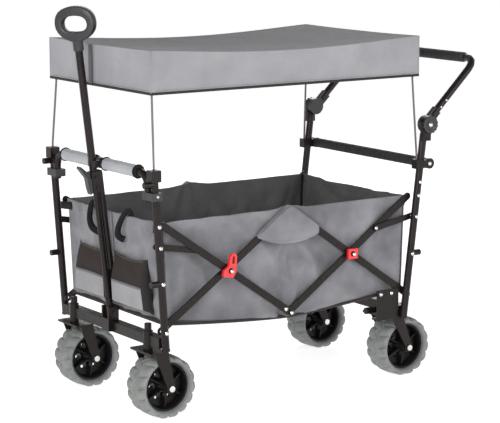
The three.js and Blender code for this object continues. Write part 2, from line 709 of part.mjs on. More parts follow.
for (const [bar, body] of Object.entries(bars)) {
  for (const [name, side] of SIDES) add(`${bar}_${name}`, onSide(body, side), STEEL);
}

// ---- red plastic pieces on the crossings ----

const CATCH_FACE = BAR_PLANES[2] + BAR_THICK + 4;

// Release catch on the front crossing, with a slotted thumb tab that stands up.
function frontCatch() {
  const [x, z] = frontCross;
  const outline = new THREE.Shape();
  outline.moveTo(x - 27, z - 14);
  outline.lineTo(x + 7, z - 20);
  outline.lineTo(x + 17, z - 6);
  outline.lineTo(x + 19, z + 30);
  outline.absarc(x + 9, z + 38, 11, 0, Math.PI * 0.9);
  outline.lineTo(x - 8, z + 14);
  outline.lineTo(x - 24, z + 4);
  const slot = new THREE.Path();
  slot.absarc(x + 9, z + 38, 4, 0, Math.PI);
  slot.lineTo(x + 3, z + 20);
  slot.lineTo(x + 12, z + 20);
  outline.holes.push(slot);
  const body = plate(outline, -CATCH_FACE - 9, -CATCH_FACE);
  return cut(body, rod([x, -300, z], [x, -250, z], 8 + GAP, 12));
}

function rearBlock() {
  const [x, z] = rearCross;
  const inner = -BAR_PLANES[1] - BAR_THICK - 4;
  const body = block([x - 17, inner - 9, z - 15], [x + 17, inner, z + 15]);
  return cut(body, rod([x, -300, z], [x, -250, z], 8 + GAP, 12));
}

for (const [name, side] of SIDES) add(`front_catch_${name}`, onSide(frontCatch(), side), RED_PLASTIC);
for (const [name, side] of SIDES) add(`rear_block_${name}`, onSide(rearBlock(), side), RED_PLASTIC);

// ---- fabric ----

// A wedge-shaped box: the X ends differ between its foot and its top.
function leaningBox(foot, top, lowZ, highZ, halfWidth) {
  const outline = new THREE.Shape();
  outline.moveTo(foot[0], lowZ);
  outline.lineTo(foot[1], lowZ);
  outline.lineTo(top[1], highZ);
  outline.lineTo(top[0], highZ);
  return plate(outline, -halfWidth, halfWidth);
}

function basket() {
  const { frontTop, rearTop, frontFoot, rearFoot, halfWidth } = BASKET;
  const outer = leaningBox([frontFoot, rearFoot], [frontTop, rearTop], BASKET_FOOT, BASKET_TOP, halfWidth);
  const footInside = [frontFoot + FABRIC, rearFoot - FABRIC];
  const topInside = [frontTop + FABRIC, rearTop - FABRIC];
  const floor = BASKET_FOOT + FABRIC;
  const inner = leaningBox(footInside, topInside, floor, BASKET_TOP + 1, halfWidth - FABRIC);
  return cut(outer, inner);
}

// Two pockets sewn to the front wall, shallow at the top and fuller below.
function frontPockets() {
  const front = BASKET.frontFoot;
  const lean = (BASKET.frontFoot - BASKET.frontTop) / (BASKET_TOP - BASKET_FOOT);
  const wallX = (z) => front - lean * (z - BASKET_FOOT) + 1;
  const outline = new THREE.Shape();
  outline.moveTo(wallX(290), 290);
  outline.lineTo(wallX(445), 445);
  outline.lineTo(wallX(445) - 6, 445);
  outline.lineTo(wallX(365) - 26, 365);
  outline.lineTo(wallX(290) - 22, 292);
  return bothSides(plate(outline, -182, -36));
}

function canopy() {
  const { front, rear, halfWidth, foot, top } = CANOPY;
  const outer = block([front, -halfWidth, foot], [rear, halfWidth, top]);
  const low = [front + FABRIC, -halfWidth + FABRIC, foot - 1];
  return cut(outer, block(low, [rear - FABRIC, halfWidth - FABRIC, top - FABRIC]));
}

add('basket', join(basket(), frontPockets()), GREY_FABRIC);
add('canopy', canopy(), GREY_FABRIC);

// Thin hoop that carries one end of the canopy: up from a socket, across under the roof, down again.
function canopyHoop(footX, footZ, headX) {
  const headY = CANOPY.halfWidth - FABRIC - 10;
  const headZ = CANOPY.top - FABRIC - 8;
  const side = [
    [footX, -POST_Y, footZ],
    [footX, -POST_Y, footZ + 26],
    [headX, -headY, CANOPY.foot - 10],
    [headX, -headY, headZ],
    [headX, 0, headZ],
  ];
  const pieces = [];
  for (let i = 1; i < side.length; i += 1) {
    pieces.push(rod(side[i - 1], side[i], ROD_RADIUS, 6));
    if (i === side.length - 1) continue;
    const ball = new THREE.SphereGeometry(ROD_RADIUS, 6, 4);
    pieces.push(solid(ball.translate(...side[i])));
  }
  return bothSides(join(...pieces));
}

add('canopy_hoop_front', canopyHoop(postX(FRONT_POST, 700), 700 + GAP, CANOPY.front + 11), STEEL);
add('canopy_hoop_rear', canopyHoop(REAR_ROD_X, 652 + GAP, CANOPY.rear - 11), STEEL);

const outerBox = new THREE.Box3().setFromObject(wagon);
wagon.position.x = -(outerBox.min.x + outerBox.max.x) / 2;

export default wagon;
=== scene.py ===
"""Looks of a folding pull wagon for children, made round its CAD frame. Metres, +X to the rear, +Z up."""

import json
import math

import bpy
import numpy as np
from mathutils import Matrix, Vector, noise


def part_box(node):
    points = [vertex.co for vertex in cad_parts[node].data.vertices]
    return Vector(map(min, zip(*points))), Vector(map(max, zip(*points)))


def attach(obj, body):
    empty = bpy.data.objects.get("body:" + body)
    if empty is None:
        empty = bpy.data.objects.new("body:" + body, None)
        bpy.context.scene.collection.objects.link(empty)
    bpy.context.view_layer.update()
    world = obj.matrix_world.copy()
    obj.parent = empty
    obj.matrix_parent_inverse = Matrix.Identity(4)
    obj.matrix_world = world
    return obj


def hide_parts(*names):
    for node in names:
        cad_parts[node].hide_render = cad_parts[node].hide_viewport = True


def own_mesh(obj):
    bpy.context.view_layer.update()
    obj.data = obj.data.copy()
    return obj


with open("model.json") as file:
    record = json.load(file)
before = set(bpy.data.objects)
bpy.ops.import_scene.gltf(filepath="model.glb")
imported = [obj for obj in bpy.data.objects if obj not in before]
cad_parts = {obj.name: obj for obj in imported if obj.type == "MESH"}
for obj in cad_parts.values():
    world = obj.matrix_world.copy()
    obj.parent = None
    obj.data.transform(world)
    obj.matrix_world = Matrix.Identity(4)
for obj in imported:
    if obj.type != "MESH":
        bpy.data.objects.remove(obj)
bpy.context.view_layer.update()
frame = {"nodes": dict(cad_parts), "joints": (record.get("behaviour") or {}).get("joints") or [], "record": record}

# ---- sizes taken from the frame ----


def centre_of(node):
    low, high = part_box(node)
    return (low + high) / 2


MIDDLE_X = (centre_of("axle_front_near").x + centre_of("axle_rear_near").x) / 2
CANOPY_LOW, CANOPY_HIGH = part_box("canopy")
BASKET_LOW, BASKET_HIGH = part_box("basket")
POCKET_PROUD = 0.0158                        # how far the CAD pockets stand in front of the wall's top
BASKET_FRONT = BASKET_LOW.x + POCKET_PROUD   # top edge of the front wall
BASKET_REAR = BASKET_HIGH.x
BASKET_TOP = BASKET_HIGH.z
BASKET_FOOT = BASKET_LOW.z
HALF_WIDTH = BASKET_HIGH.y
FRONT_LEAN = 0.015                           # the front wall's foot is this far behind its top
REAR_LEAN = 0.010
CORNER_RISE = 0.033                          # the floor's ends are this much higher than its middle
POST_OUTSIDE = 0.294
HINGES = {joint["name"]: joint for joint in frame["joints"]}
SIDES = (("near", -1), ("far", 1))


def along(x):
    """X in the frame, from a distance behind the middle of the wheelbase."""
    return MIDDLE_X + x


def smooth(low, high, value):
    share = np.clip((value - low) / (high - low), 0, 1)
    return share * share * (3 - 2 * share)


def ripple(x, y, z):
    return noise.noise(Vector((x, y, z)))


# ---- materials ----


def node(tree, kind, **values):
    made = tree.nodes.new(kind)
    for name, value in values.items():
        setattr(made, name, value)
    return made


def noise_field(tree, coordinate, scale, detail=3.0, stretch=(1, 1, 1)):
    mapping = node(tree, "ShaderNodeMapping")
    mapping.inputs["Scale"].default_value = stretch
    tree.links.new(coordinate, mapping.inputs["Vector"])
    field = node(tree, "ShaderNodeTexNoise")
    field.inputs["Scale"].default_value = scale
    field.inputs["Detail"].default_value = detail
    tree.links.new(mapping.outputs["Vector"], field.inputs["Vector"])
    return field.outputs["Fac"]


def ranged(tree, value, low, high, start=0.3, end=0.7):
    spread = node(tree, "ShaderNodeMapRange")
    spread.inputs["From Min"].default_value = start
    spread.inputs["From Max"].default_value = end
    spread.inputs["To Min"].default_value = low
    spread.inputs["To Max"].default_value = high
    tree.links.new(value, spread.inputs["Value"])
    return spread.outputs["Result"]


def mixed(tree, share, first, second):
    mix = node(tree, "ShaderNodeMix", data_type="RGBA")
    for socket, value in ((mix.inputs[6], first), (mix.inputs[7], second)):
        if isinstance(value, tuple):
            socket.default_value = (*value, 1)
        else:
            tree.links.new(value, socket)
    tree.links.new(share, mix.inputs[0])
    return mix.outputs[2]


def bumped(tree, height, distance, strength, below=None):
    bump = node(tree, "ShaderNodeBump")
    bump.inputs["Distance"].default_value = distance
    bump.inputs["Strength"].default_value = strength
    tree.links.new(height, bump.inputs["Height"])
    if below is not None:
        tree.links.new(below, bump.inputs["Normal"])
    return bump.outputs["Normal"]


def surface(name, metallic=0.0, sheen=0.0, coat=0.0, specular=0.5):
    """An empty material, its node tree, its shader and the piece's own coordinate."""
    made = bpy.data.materials.new(name)
    made.use_nodes = True
    tree = made.node_tree
    shader = tree.nodes["Principled BSDF"]
    shader.inputs["Metallic"].default_value = metallic
    shader.inputs["Sheen Weight"].default_value = sheen
    shader.inputs["Sheen Roughness"].default_value = 0.5
    shader.inputs["Coat Weight"].default_value = coat
    shader.inputs["Coat Roughness"].default_value = 0.15
    shader.inputs["Specular IOR Level"].default_value = specular
    place = node(tree, "ShaderNodeTexCoord")
    return made, tree, shader, place


def scaled(colour, factor):
    return tuple(channel * factor for channel in colour)


def hard_finish(name, colour, rough, metallic=0.0, grain=1400, depth=0.00005, coat=0.0, specular=0.5):
    """Paint, plastic, rubber or metal: cloudy colour, uneven roughness and fine grain."""
    made, tree, shader, place = surface(name, metallic, coat=coat, specular=specular)
    here = place.outputs["Object"]
    clouds = ranged(tree, noise_field(tree, here, 28), 0, 1)
    colour_out = mixed(tree, clouds, scaled(colour, 0.86), scaled(colour, 1.16))
    tree.links.new(colour_out, shader.inputs["Base Color"])
    smudges = noise_field(tree, here, 60)
    tree.links.new(ranged(tree, smudges, rough * 0.8, min(1, rough * 1.25)), shader.inputs["Roughness"])
    tree.links.new(bumped(tree, noise_field(tree, here, grain, 2), depth, 0.5), shader.inputs["Normal"])
    return made


WAVE_TURNS = 20  # a wave texture of scale 1 runs through this many radians in a metre


def threads(tree, place, pitch, direction):
    wave = node(tree, "ShaderNodeTexWave", bands_direction=direction)
    wave.inputs["Scale"].default_value = 2 * math.pi / (WAVE_TURNS * pitch)
    tree.links.new(place, wave.inputs["Vector"])
    return wave.outputs["Fac"]


def cloth(name, colour, pitch=0.0011, depth=0.00025, sheen=0.25, rough=0.85, variation=0.14):
    """Woven cloth: crossing threads, slubs along both of them, creased and faded a little."""
    made, tree, shader, place = surface(name, sheen=sheen, specular=0.25)
    flat, here = place.outputs["UV"], place.outputs["Object"]
    weave = node(tree, "ShaderNodeMath", operation="MULTIPLY")
    tree.links.new(threads(tree, flat, pitch, "X"), weave.inputs[0])
    tree.links.new(threads(tree, flat, pitch, "Y"), weave.inputs[1])
    clouds = ranged(tree, noise_field(tree, here, 9, 4), 0, 1)
    colour_out = mixed(tree, clouds, scaled(colour, 1 - variation), scaled(colour, 1 + variation))
    for stretch in ((30, 1, 1), (1, 30, 1)):
        slub = ranged(tree, noise_field(tree, flat, 40, 3, stretch), 0, 0.22, 0.45, 0.75)
        colour_out = mixed(tree, slub, colour_out, scaled(colour, 0.6))
    # Painted shade: the gaps between the threads are coloured darker.
    thread_gap_shade = ranged(tree, weave.outputs[0], 0.0, 0.25, 0.5, 0.0)
    colour_out = mixed(tree, thread_gap_shade, colour_out, scaled(colour, 0.45))
    tree.links.new(colour_out, shader.inputs["Base Color"])
    tree.links.new(ranged(tree, noise_field(tree, here, 50), rough * 0.9, rough), shader.inputs["Roughness"])
    creases = bumped(tree, noise_field(tree, here, 32, 5), 0.006, 0.32)
    tree.links.new(bumped(tree, weave.outputs[0], depth, 0.6, creases), shader.inputs["Normal"])
    return made


def webbing(name, colour, rib=0.0016):
    """Tightly woven tape with ribs across it."""
    made, tree, shader, place = surface(name, sheen=0.04, specular=0.16)
    flat = place.outputs["UV"]
    ribs = threads(tree, flat, rib, "X")
    # Painted shade and highlight: darker in the grooves between the ribs, lighter on their crests, following the
    # ribs' bump.
    shade = mixed(tree, ranged(tree, ribs, 0, 1), scaled(colour, 0.7), scaled(colour, 1.3))
    tree.links.new(shade, shader.inputs["Base Color"])
    rough = ranged(tree, noise_field(tree, place.outputs["Object"], 90), 0.65, 0.85)
    tree.links.new(rough, shader.inputs["Roughness"])
    tree.links.new(bumped(tree, ribs, 0.0004, 0.8), shader.inputs["Normal"])
    return made


STEEL_COLOUR = (0.0105, 0.0074, 0.0066)
STEEL = hard_finish("powder_coat", STEEL_COLOUR, 0.30, grain=2200, specular=0.22)
BLACK = hard_finish("black_plastic", (0.016, 0.016, 0.017), 0.42, grain=2600)
RUBBER = hard_finish("tyre_rubber", (0.175, 0.184, 0.176), 0.62, grain=900, depth=0.00012)
HUB = hard_finish("hub_plastic", (0.007, 0.006, 0.007), 0.42, grain=2000, specular=0.25)
BOLT = hard_finish("bright_bolt", (0.72, 0.70, 0.66), 0.25, 1.0, grain=3000, depth=0.00002)
FOAM = hard_finish("foam", (0.020, 0.020, 0.022), 0.78, grain=1100, depth=0.0003)
RED = hard_finish("red_plastic", (0.72, 0.018, 0.020), 0.32, grain=1500, coat=0.3)
GREY = cloth("grey_polyester", (0.295, 0.291, 0.310))
# Painted shade: the basket's walls are the same grey cloth, coloured darker for the shade under the canopy, and
# their wide cloudy variation stands in for the shade of their folds.
WALL_SHADED_GREY = cloth("basket_polyester_painted_shade", (0.192, 0.190, 0.205), variation=0.38)
# Painted shade: the canopy's roof is the same grey cloth as its valance, coloured darker for the lesser light that
# falls on it.
ROOF_SHADED_GREY = cloth("roof_polyester_painted_shade", (0.096, 0.094, 0.102), sheen=0.12)
SLEEVE = cloth("sleeve_cloth", (0.365, 0.37, 0.39))
# The inside of the basket: a dark lining, coloured darker still as painted shade for the shade inside the basket.
LINING_AND_SHADE = cloth("dark_lining_and_painted_shade", (0.098, 0.096, 0.099), sheen=0.1)
GUSSET = cloth("pocket_gusset", (0.020, 0.018, 0.019), sheen=0.1)
POCKET_FRONT = cloth("pocket_cloth", (0.25, 0.25, 0.262))
NETTING = cloth("pocket_netting", (0.030, 0.022, 0.019), pitch=0.0024, depth=0.0009, sheen=0.0)
NET_EDGE = webbing("pocket_binding", (0.060, 0.045, 0.036))
TAPE = webbing("black_tape", (0.014, 0.013, 0.014))
PIPING = webbing("dark_piping", (0.032, 0.026, 0.024), rib=0.0022)
GREY_TAPE = webbing("grey_tape", (0.13, 0.13, 0.14))
THREAD = webbing("thread", (0.20, 0.20, 0.215), rib=0.0008)

SLOT_FINISH = {
    "steel": STEEL,
    "black_plastic": BLACK,
    "tyre": RUBBER,
    "hub": HUB,
    "bolt": BOLT,
    "fabric": GREY,
    "foam": FOAM,
    "red_plastic": RED,
}

# ---- mesh building ----


def make_piece(name, points, faces, finishes, face_finish=None, uvs=None, flat=False):
    """A mesh from its points and faces. uvs holds one pair for each point."""
    mesh = bpy.data.meshes.new(name)
    mesh.from_pydata([tuple(point) for point in points], [], [tuple(face) for face in faces])
    for finish in finishes:
        mesh.materials.append(finish)
    if face_finish is not None:
        mesh.polygons.foreach_set("material_index", np.array(face_finish, np.int32))
    mesh.polygons.foreach_set("use_smooth", np.full(len(faces), not flat))
    if uvs is not None:
        layer = mesh.uv_layers.new(name="flat")
        corners = np.array([uvs[loop.vertex_index] for loop in mesh.loops], np.float32)
        layer.data.foreach_set("uv", corners.ravel())
    mesh.update()
    piece = bpy.data.objects.new(name, mesh)
    bpy.context.scene.collection.objects.link(piece)
    return piece


def grid_faces(rows, columns, closed_rows=False, closed_columns=False, flip=False):
    faces = []
    for i in range(rows if closed_rows else rows - 1):
        for j in range(columns if closed_columns else columns - 1):
            below, beside = (i + 1) % rows, (j + 1) % columns
            face = (i * columns + j, below * columns + j, below * columns + beside, i * columns + beside)
            faces.append(face[::-1] if flip else face)
    return faces


def cloth_grid(name, rows, columns, point, size, finishes, flip=False, thick=0.0016, finish_of=None):
    """A sheet from point(u, v), u along its length and v up its height, with a second finish inside."""
    shares = [(j / (columns - 1), i / (rows - 1)) for i in range(rows) for j in range(columns)]
    points = [point(u, v) for u, v in shares]
    uvs = [(u * size[0], v * size[1]) for u, v in shares]
    faces = grid_faces(rows, columns, flip=flip)
    chosen = None
    if finish_of is not None:
        chosen = [finish_of((j + 0.5) / (columns - 1), (i + 0.5) / (rows - 1))
                  for i in range(rows - 1) for j in range(columns - 1)]
    piece = make_piece(name, points, faces, finishes, chosen, uvs)
    thicken(piece, thick, finish_of is None)
    return piece


def thicken(piece, thick, lined):
    shell = piece.modifiers.new("thickness", "SOLIDIFY")
    shell.thickness = thick
    shell.offset = -1
    shell.use_even_offset = False
    if lined:
        shell.material_offset = 1


def circle(radius, sides):
    return [(radius * math.cos(2 * math.pi * i / sides), radius * math.sin(2 * math.pi * i / sides))
            for i in range(sides)]


def ribbon(width, thick):
    """Section of a flat tape: its width runs across the path's up direction."""
    a, b = width / 2, thick / 2
    return [(-a, -b), (a, -b), (a, b), (-a, b)]


def sweep_data(path, section, up, closed=False, first=0):
    """Points, faces and uvs of a section carried along a path. The section's second axis points along up."""
    path = [Vector(point) for point in path]
    count, sides = len(path), len(section)
    points, uvs, travelled = [], [], 0.0
    for i, place in enumerate(path):
        ahead = path[(i + 1) % count] if closed or i < count - 1 else place
        behind = path[i - 1] if closed or i > 0 else place
        forward = (ahead - behind).normalized()
        lift = up(i / max(1, count - 1)) if callable(up) else Vector(up)
        across = forward.cross(lift).normalized()
        lift = across.cross(forward).normalized()
        if i > 0:
            travelled += (place - path[i - 1]).length
        for k, (a, b) in enumerate(section):
            points.append(place + across * a + lift * b)
            uvs.append((travelled, k * 0.004))
    faces = []
    for i in range(count if closed else count - 1):
        after = (i + 1) % count
        for k in range(sides):
            beside = (k + 1) % sides
            faces.append([first + n for n in
                          (i * sides + k, i * sides + beside, after * sides + beside, after * sides + k)])
    if not closed:
        faces.append([first + k for k in range(sides)][::-1])
        faces.append([first + (count - 1) * sides + k for k in range(sides)])
    return points, faces, uvs


def sweep(name, paths, section, up, finish, closed=False, flat=False):
    """One fabric piece from a section carried along one or more paths."""
    points, faces, uvs = [], [], []
    for path in paths:
        more_points, more_faces, more_uvs = sweep_data(path, section, up, closed, len(points))
        points += more_points
        faces += more_faces
        uvs += more_uvs
    return make_piece(name, points, faces, [finish], None, uvs, flat)


def turned_data(profile, centre, axis, segments, first=0):
    """A turned form on an axis from [radius, height] pairs that start and end on the axis."""
    axis = Vector(axis).normalized()
    side = axis.orthogonal().normalized()
    other = axis.cross(side)
    centre = Vector(centre)
    points, faces = [], []
    for radius, height in profile:
        for k in range(segments):
            angle = 2 * math.pi * k / segments
            spoke = side * math.cos(angle) + other * math.sin(angle)
            points.append(centre + axis * height + spoke * radius)
    rows = len(profile)
    for i in range(rows - 1):
        for k in range(segments):
            beside = (k + 1) % segments
            low, high = i * segments, (i + 1) * segments
            face = (low + k, low + beside, high + beside, high + k)
            faces.append([first + n for n in face])
    faces.append([first + k for k in range(segments)][::-1])
    faces.append([first + (rows - 1) * segments + k for k in range(segments)])
    return points, faces


def spline(points, steps=12):
    """A smooth path through some points."""
    points = [Vector(point) for point in points]
    ends = [points[0] * 2 - points[1], *points, points[-1] * 2 - points[-2]]
    path = []
    for a, b, c, d in zip(ends, ends[1:], ends[2:], ends[3:]):
        for k in range(steps):
            t = k / steps
            path.append(0.5 * (2 * b + (c - a) * t + (2 * a - 5 * b + 4 * c - d) * t * t
                               + (3 * b - a - 3 * c + d) * t ** 3))
    path.append(points[-1])
    return path


def stitches(name, lines, length=0.0045, pitch=0.008, radius=0.00045):
    """A row of short threads along each line. A line is a list of points and the side it lies on."""
    points, faces = [], []
    for line, outward in lines:
        line = [Vector(point) for point in line]
        spans = [(b - a).length for a, b in zip(line, line[1:])]
        ends = np.concatenate([[0], np.cumsum(spans)])
        for start in np.arange(pitch, ends[-1] - pitch, pitch):
            i = min(int(np.searchsorted(ends, start, side="right")) - 1, len(spans) - 1)
            direction = (line[i + 1] - line[i]).normalized()
            place = line[i] + direction * (start - ends[i])
            lift = Vector(outward).normalized()
            across = direction.cross(lift).normalized() * radius
            half = direction * length / 2
            base = len(points)
            for end, height in ((-half, -0.3), (-half * 0.7, 1), (half * 0.7, 1), (half, -0.3)):
                middle = place + end + lift * radius * height
                points += [middle - across, middle + across]
            for k in range(3):
                faces.append((base + 2 * k, base + 2 * k + 2, base + 2 * k + 3, base + 2 * k + 1))
            faces.append((base, base + 1, base + 7, base + 6))
            faces.append((base, base + 6, base + 4, base + 2))
            faces.append((base + 1, base + 3, base + 5, base + 7))
    return make_piece(name, points, faces, [THREAD], None, [(p.x, p.z) for p in points])


# ---- the CAD pieces that stay: finish, softened edges ----

SOFT_EDGE = {"pull_grip": 0.0012, "front_catch_near": 0.0012, "front_catch_far": 0.0012}
REPLACED = ("basket", "canopy", "armrest_sleeve", "tyre_", "push_grip")


def refine(piece, width):
    """Joins split corners, rounds the sharp edges a little and shades the round faces smooth."""
    mesh = piece.data
    if "custom_normal" in mesh.attributes:
        mesh.attributes.remove(mesh.attributes["custom_normal"])
    mesh.polygons.foreach_set("use_smooth", np.ones(len(mesh.polygons), bool))
    weld = piece.modifiers.new("weld", "WELD")
    weld.merge_threshold = 0.00001
    bevel = piece.modifiers.new("edges", "BEVEL")
    bevel.width = width
    bevel.segments = 2
    bevel.limit_method = "ANGLE"
    bevel.angle_limit = math.radians(38)
    bevel.harden_normals = True


for entry in frame["record"]["subparts"]:
    name = entry["node"]
    if name.startswith(REPLACED):
        continue
    piece = frame["nodes"][name]
    piece.data.materials.clear()
    piece.data.materials.append(SLOT_FINISH[entry["material_slot"]])
    refine(piece, SOFT_EDGE.get(name, 0.0006))

rear_bar = frame["nodes"]["rear_bar"]
rear_bar.data.materials.append(STEEL)
BAR_END_Y = 0.2690                           # beyond this the padded bar is bare steel
for polygon in rear_bar.data.polygons:
    polygon.material_index = int(abs(polygon.center.y) > BAR_END_Y)

# ---- tyres and wheels ----

LUGS = 15
TYRE_STEPS = 240
RIBS = 6
RIB_INNER, RIB_OUTER, RIB_THICK = 0.0175, 0.0590, 0.0048
TYRE_PROFILE = (
    (0.070, -0.035), (0.0712, -0.0395), (0.0745, -0.0440), (0.0785, -0.0468), (0.083, -0.0462),
    (0.0868, -0.0425), (0.089, -0.0355), (0.090, -0.0245), (0.090, 0.0),
)


def fine_profile(step=0.0022):
    corners = [*TYRE_PROFILE, *[(radius, -width) for radius, width in TYRE_PROFILE[-2::-1]]]
    made = []
    for (r0, w0), (r1, w1) in zip(corners, corners[1:]):
        count = max(1, round(math.hypot(r1 - r0, w1 - w0) / step))
        made += [(r0 + (r1 - r0) * k / count, w0 + (w1 - w0) * k / count) for k in range(count)]
    return np.array([*made, corners[-1]])


def tread_cut(turn, radius, width):
    """How far the tread lies below the tyre's outline: lugs on both shoulders, a winding groove between."""
    bend = 0.30 * np.abs(width) / 0.047
    phase = (turn * LUGS + np.where(width > 0, 0.5, 0.0) + bend) % 1
    off_groove = np.abs(phase - 0.5)
    shoulder = smooth(0.007, 0.022, np.abs(width)) * smooth(0.0750, 0.083, radius)
    groove = 1 - smooth(0.055, 0.125, off_groove)
    crown = 1 - smooth(0.10, 0.50, off_groove)
    wave = 0.0075 * np.sin(2 * math.pi * turn * LUGS)
    winding = 1 - smooth(0.0009, 0.0026, np.abs(width - wave))
    second = 1 - smooth(0.0007, 0.0020, np.abs(np.abs(width - wave) - 0.0125))
    tread = smooth(0.083, 0.088, radius)
    cut = 0.0046 * groove * shoulder + 0.0020 * crown * shoulder
    return np.maximum(cut, tread * np.maximum(0.0034 * winding, 0.0012 * second))


def build_tyre(name):
    low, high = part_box(f"tyre_{name}")
    centre = (low + high) / 2
    profile = fine_profile()
    turn = np.arange(TYRE_STEPS) / TYRE_STEPS
    radius, width = profile[:, 0], profile[:, 1]
    slope = np.gradient(profile, axis=0)
    normal = np.stack([-slope[:, 1], slope[:, 0]], axis=1)
    normal /= np.linalg.norm(normal, axis=1)[:, None]
    normal *= -1 if normal[len(normal) // 2, 0] < 0 else 1
    t, r = np.meshgrid(turn, radius, indexing="ij")
    w = np.broadcast_to(width, t.shape)
    depth = tread_cut(t, r, w)
    r = r - depth * normal[None, :, 0]
    w = w - depth * normal[None, :, 1]
    angle = 2 * math.pi * t
    points = np.stack([centre.x + r * np.cos(angle), centre.y + w, centre.z + r * np.sin(angle)], axis=-1)
    faces = grid_faces(TYRE_STEPS, len(profile), True, True)
    tyre = make_piece(f"lugged_tyre_{name}", points.reshape(-1, 3), faces, [RUBBER])
    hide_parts(f"tyre_{name}")
    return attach(tyre, f"wheel_{name}")


def build_spokes(name):
    """Ribs on both faces of the wheel, from its boss to its rim."""
    centre = centre_of(f"hub_{name}")
    points, faces = [], []
    inner, outer, half = RIB_INNER, RIB_OUTER, RIB_THICK / 2
    for face in (-1, 1):
        for k in range(RIBS):
            angle = 2 * math.pi * (k + 0.5) / RIBS
            out = Vector((math.cos(angle), 0, math.sin(angle)))
            across = Vector((-out.z, 0, out.x)) * half
            base = len(points)
            for reach, depth in ((inner, 0.0055), (inner, 0.030), (outer, 0.0215), (outer, 0.0055)):
                middle = centre + out * reach + Vector((0, face * depth, 0))
                points += [middle - across, middle + across]
            ring = [base, base + 2, base + 4, base + 6]
            faces += [ring, [n + 1 for n in ring[::-1]]]
            faces += [[ring[i], ring[i] + 1, ring[(i + 1) % 4] + 1, ring[(i + 1) % 4]] for i in range(4)]
    spokes = make_piece(f"wheel_ribs_{name}", points, faces, [HUB], flat=True)
    bevel = spokes.modifiers.new("edges", "BEVEL")
    bevel.width = 0.0007
    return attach(spokes, f"wheel_{name}")


for end in ("front", "rear"):
    for side_name, side in SIDES:
        build_tyre(f"{end}_{side_name}")
        build_spokes(f"{end}_{side_name}")

# ---- bolts: domed heads, listed by body, along X and Z, with the face they sit on ----

BOLT_PROFILE = ((0.0, 0.0), (0.0062, 0.0), (0.0062, 0.0009), (0.0046, 0.0010), (0.0044, 0.0026),
                (0.0032, 0.0036), (0.0, 0.0040))
BAR_FACES = (0.2650, 0.2703, 0.2756)


def post_x(end, z):
    """The X of a leaning post's middle at a height."""
    low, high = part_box(f"{end}_axle_beam")
    foot = (low + high) / 2
    slope = {"front": -0.0702, "rear": 0.1221}[end]
    foot_x = {"front": along(-0.4531), "rear": along(0.3878)}[end]
    return foot_x + slope * (z - foot.z)


def pivot(joint):
    x, _, z = HINGES[joint]["pos_m"]
    return x, z


FRONT_CROSS = pivot("front_cross")
REAR_CROSS = pivot("rear_cross")
FRONT_LOW = pivot("fold")
REAR_LOW = pivot("rear_foot")
CENTRE_TOP = pivot("centre_top")
CENTRE_LOW = (CENTRE_TOP[0], FRONT_LOW[1])
FRONT_LINK_BAR = (along(-0.3352), 0.4733)
REAR_LINK_BAR = (along(0.2891), 0.4722)
PUSH_PIVOT = pivot("push_tilt")

BOLTS = {
    "front_frame": [(post_x("front", z), z, POST_OUTSIDE)
                    for z in (0.258, 0.396, 0.497, 0.556, 0.640, 0.690)],
    "rear_frame": [(post_x("rear", z), z, POST_OUTSIDE) for z in (0.386, 0.497, 0.560, 0.6)]
    + [(along(0.306), 0.270, 0.2755), (along(0.346), 0.270, 0.2755), (along(0.469), 0.653, 0.2960)],
    "rise_front": [(FRONT_CROSS[0], FRONT_CROSS[1], 0.2940)],
    "rise_rear": [(REAR_LOW[0], REAR_LOW[1], BAR_FACES[1]), (REAR_CROSS[0], REAR_CROSS[1], 0.2890)],
    "fall_front": [(CENTRE_LOW[0] - 0.018, CENTRE_LOW[1] + 0.0124, BAR_FACES[2])],
    "fall_rear": [(CENTRE_LOW[0], CENTRE_LOW[1], 0.2788)],
    "link_front": [(*FRONT_LINK_BAR, BAR_FACES[1])],
    "link_rear": [(*REAR_LINK_BAR, BAR_FACES[1])],
}


def build_bolts(body, places):
    points, faces = [], []
    for x, z, face in places:
        for _, side in SIDES:
            more = turned_data(BOLT_PROFILE, (x, side * face, z), (0, side, 0), 16, len(points))
            points += more[0]
            faces += more[1]
    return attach(make_piece(f"bolts_{body}", points, faces, [BOLT]), body)


for body, places in BOLTS.items():
    build_bolts(body, places)

# ---- push handle: fluted discs, rivets and grip ----

PUSH_SLOPE = math.radians(43.5)
PUSH_ARM_Y = 0.276
FLUTES = 14


def fluted_disc(name, body, face, thick, radius):
    """A round cap with a scalloped edge on each side's joint."""
    points, faces = [], []
    steps = FLUTES * 8
    for _, side in SIDES:
        base = len(points)
        levels = ((0.86, 0.0), (1.0, 0.0008), (1.0, thick - 0.0012), (0.93, thick), (0.62, thick),
                  (0.58, thick - 0.0012), (0.40, thick - 0.0012))
        for share, height in levels:
            for k in range(steps):
                angle = 2 * math.pi * k / steps
                wave = 1 - 0.035 * (share > 0.8) * (1 + math.cos(angle * FLUTES))
                reach = radius * share * wave
                points.append((PUSH_PIVOT[0] + reach * math.cos(angle), side * (face + height),
                               PUSH_PIVOT[1] + reach * math.sin(angle)))
        count = len(levels)
        for i in range(count - 1):
            for k in range(steps):
                beside = (k + 1) % steps
                ring = (i * steps + k, (i + 1) * steps + k, (i + 1) * steps + beside, i * steps + beside)
                faces.append([base + n for n in (ring if side > 0 else ring[::-1])])
        lid = [base + (count - 1) * steps + k for k in range(steps)]
        bottom = [base + k for k in range(steps)]
        faces += [lid[::-1], bottom] if side > 0 else [lid, bottom[::-1]]
    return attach(make_piece(name, points, faces, [BLACK]), body)


DISC_FACE = 0.2970
fluted_disc("joint_caps", "rear_frame", DISC_FACE, 0.0055, 0.0275)


def push_point(distance, y):
    return Vector((PUSH_PIVOT[0] + distance * math.cos(PUSH_SLOPE), y,
                   PUSH_PIVOT[1] + distance * math.sin(PUSH_SLOPE)))


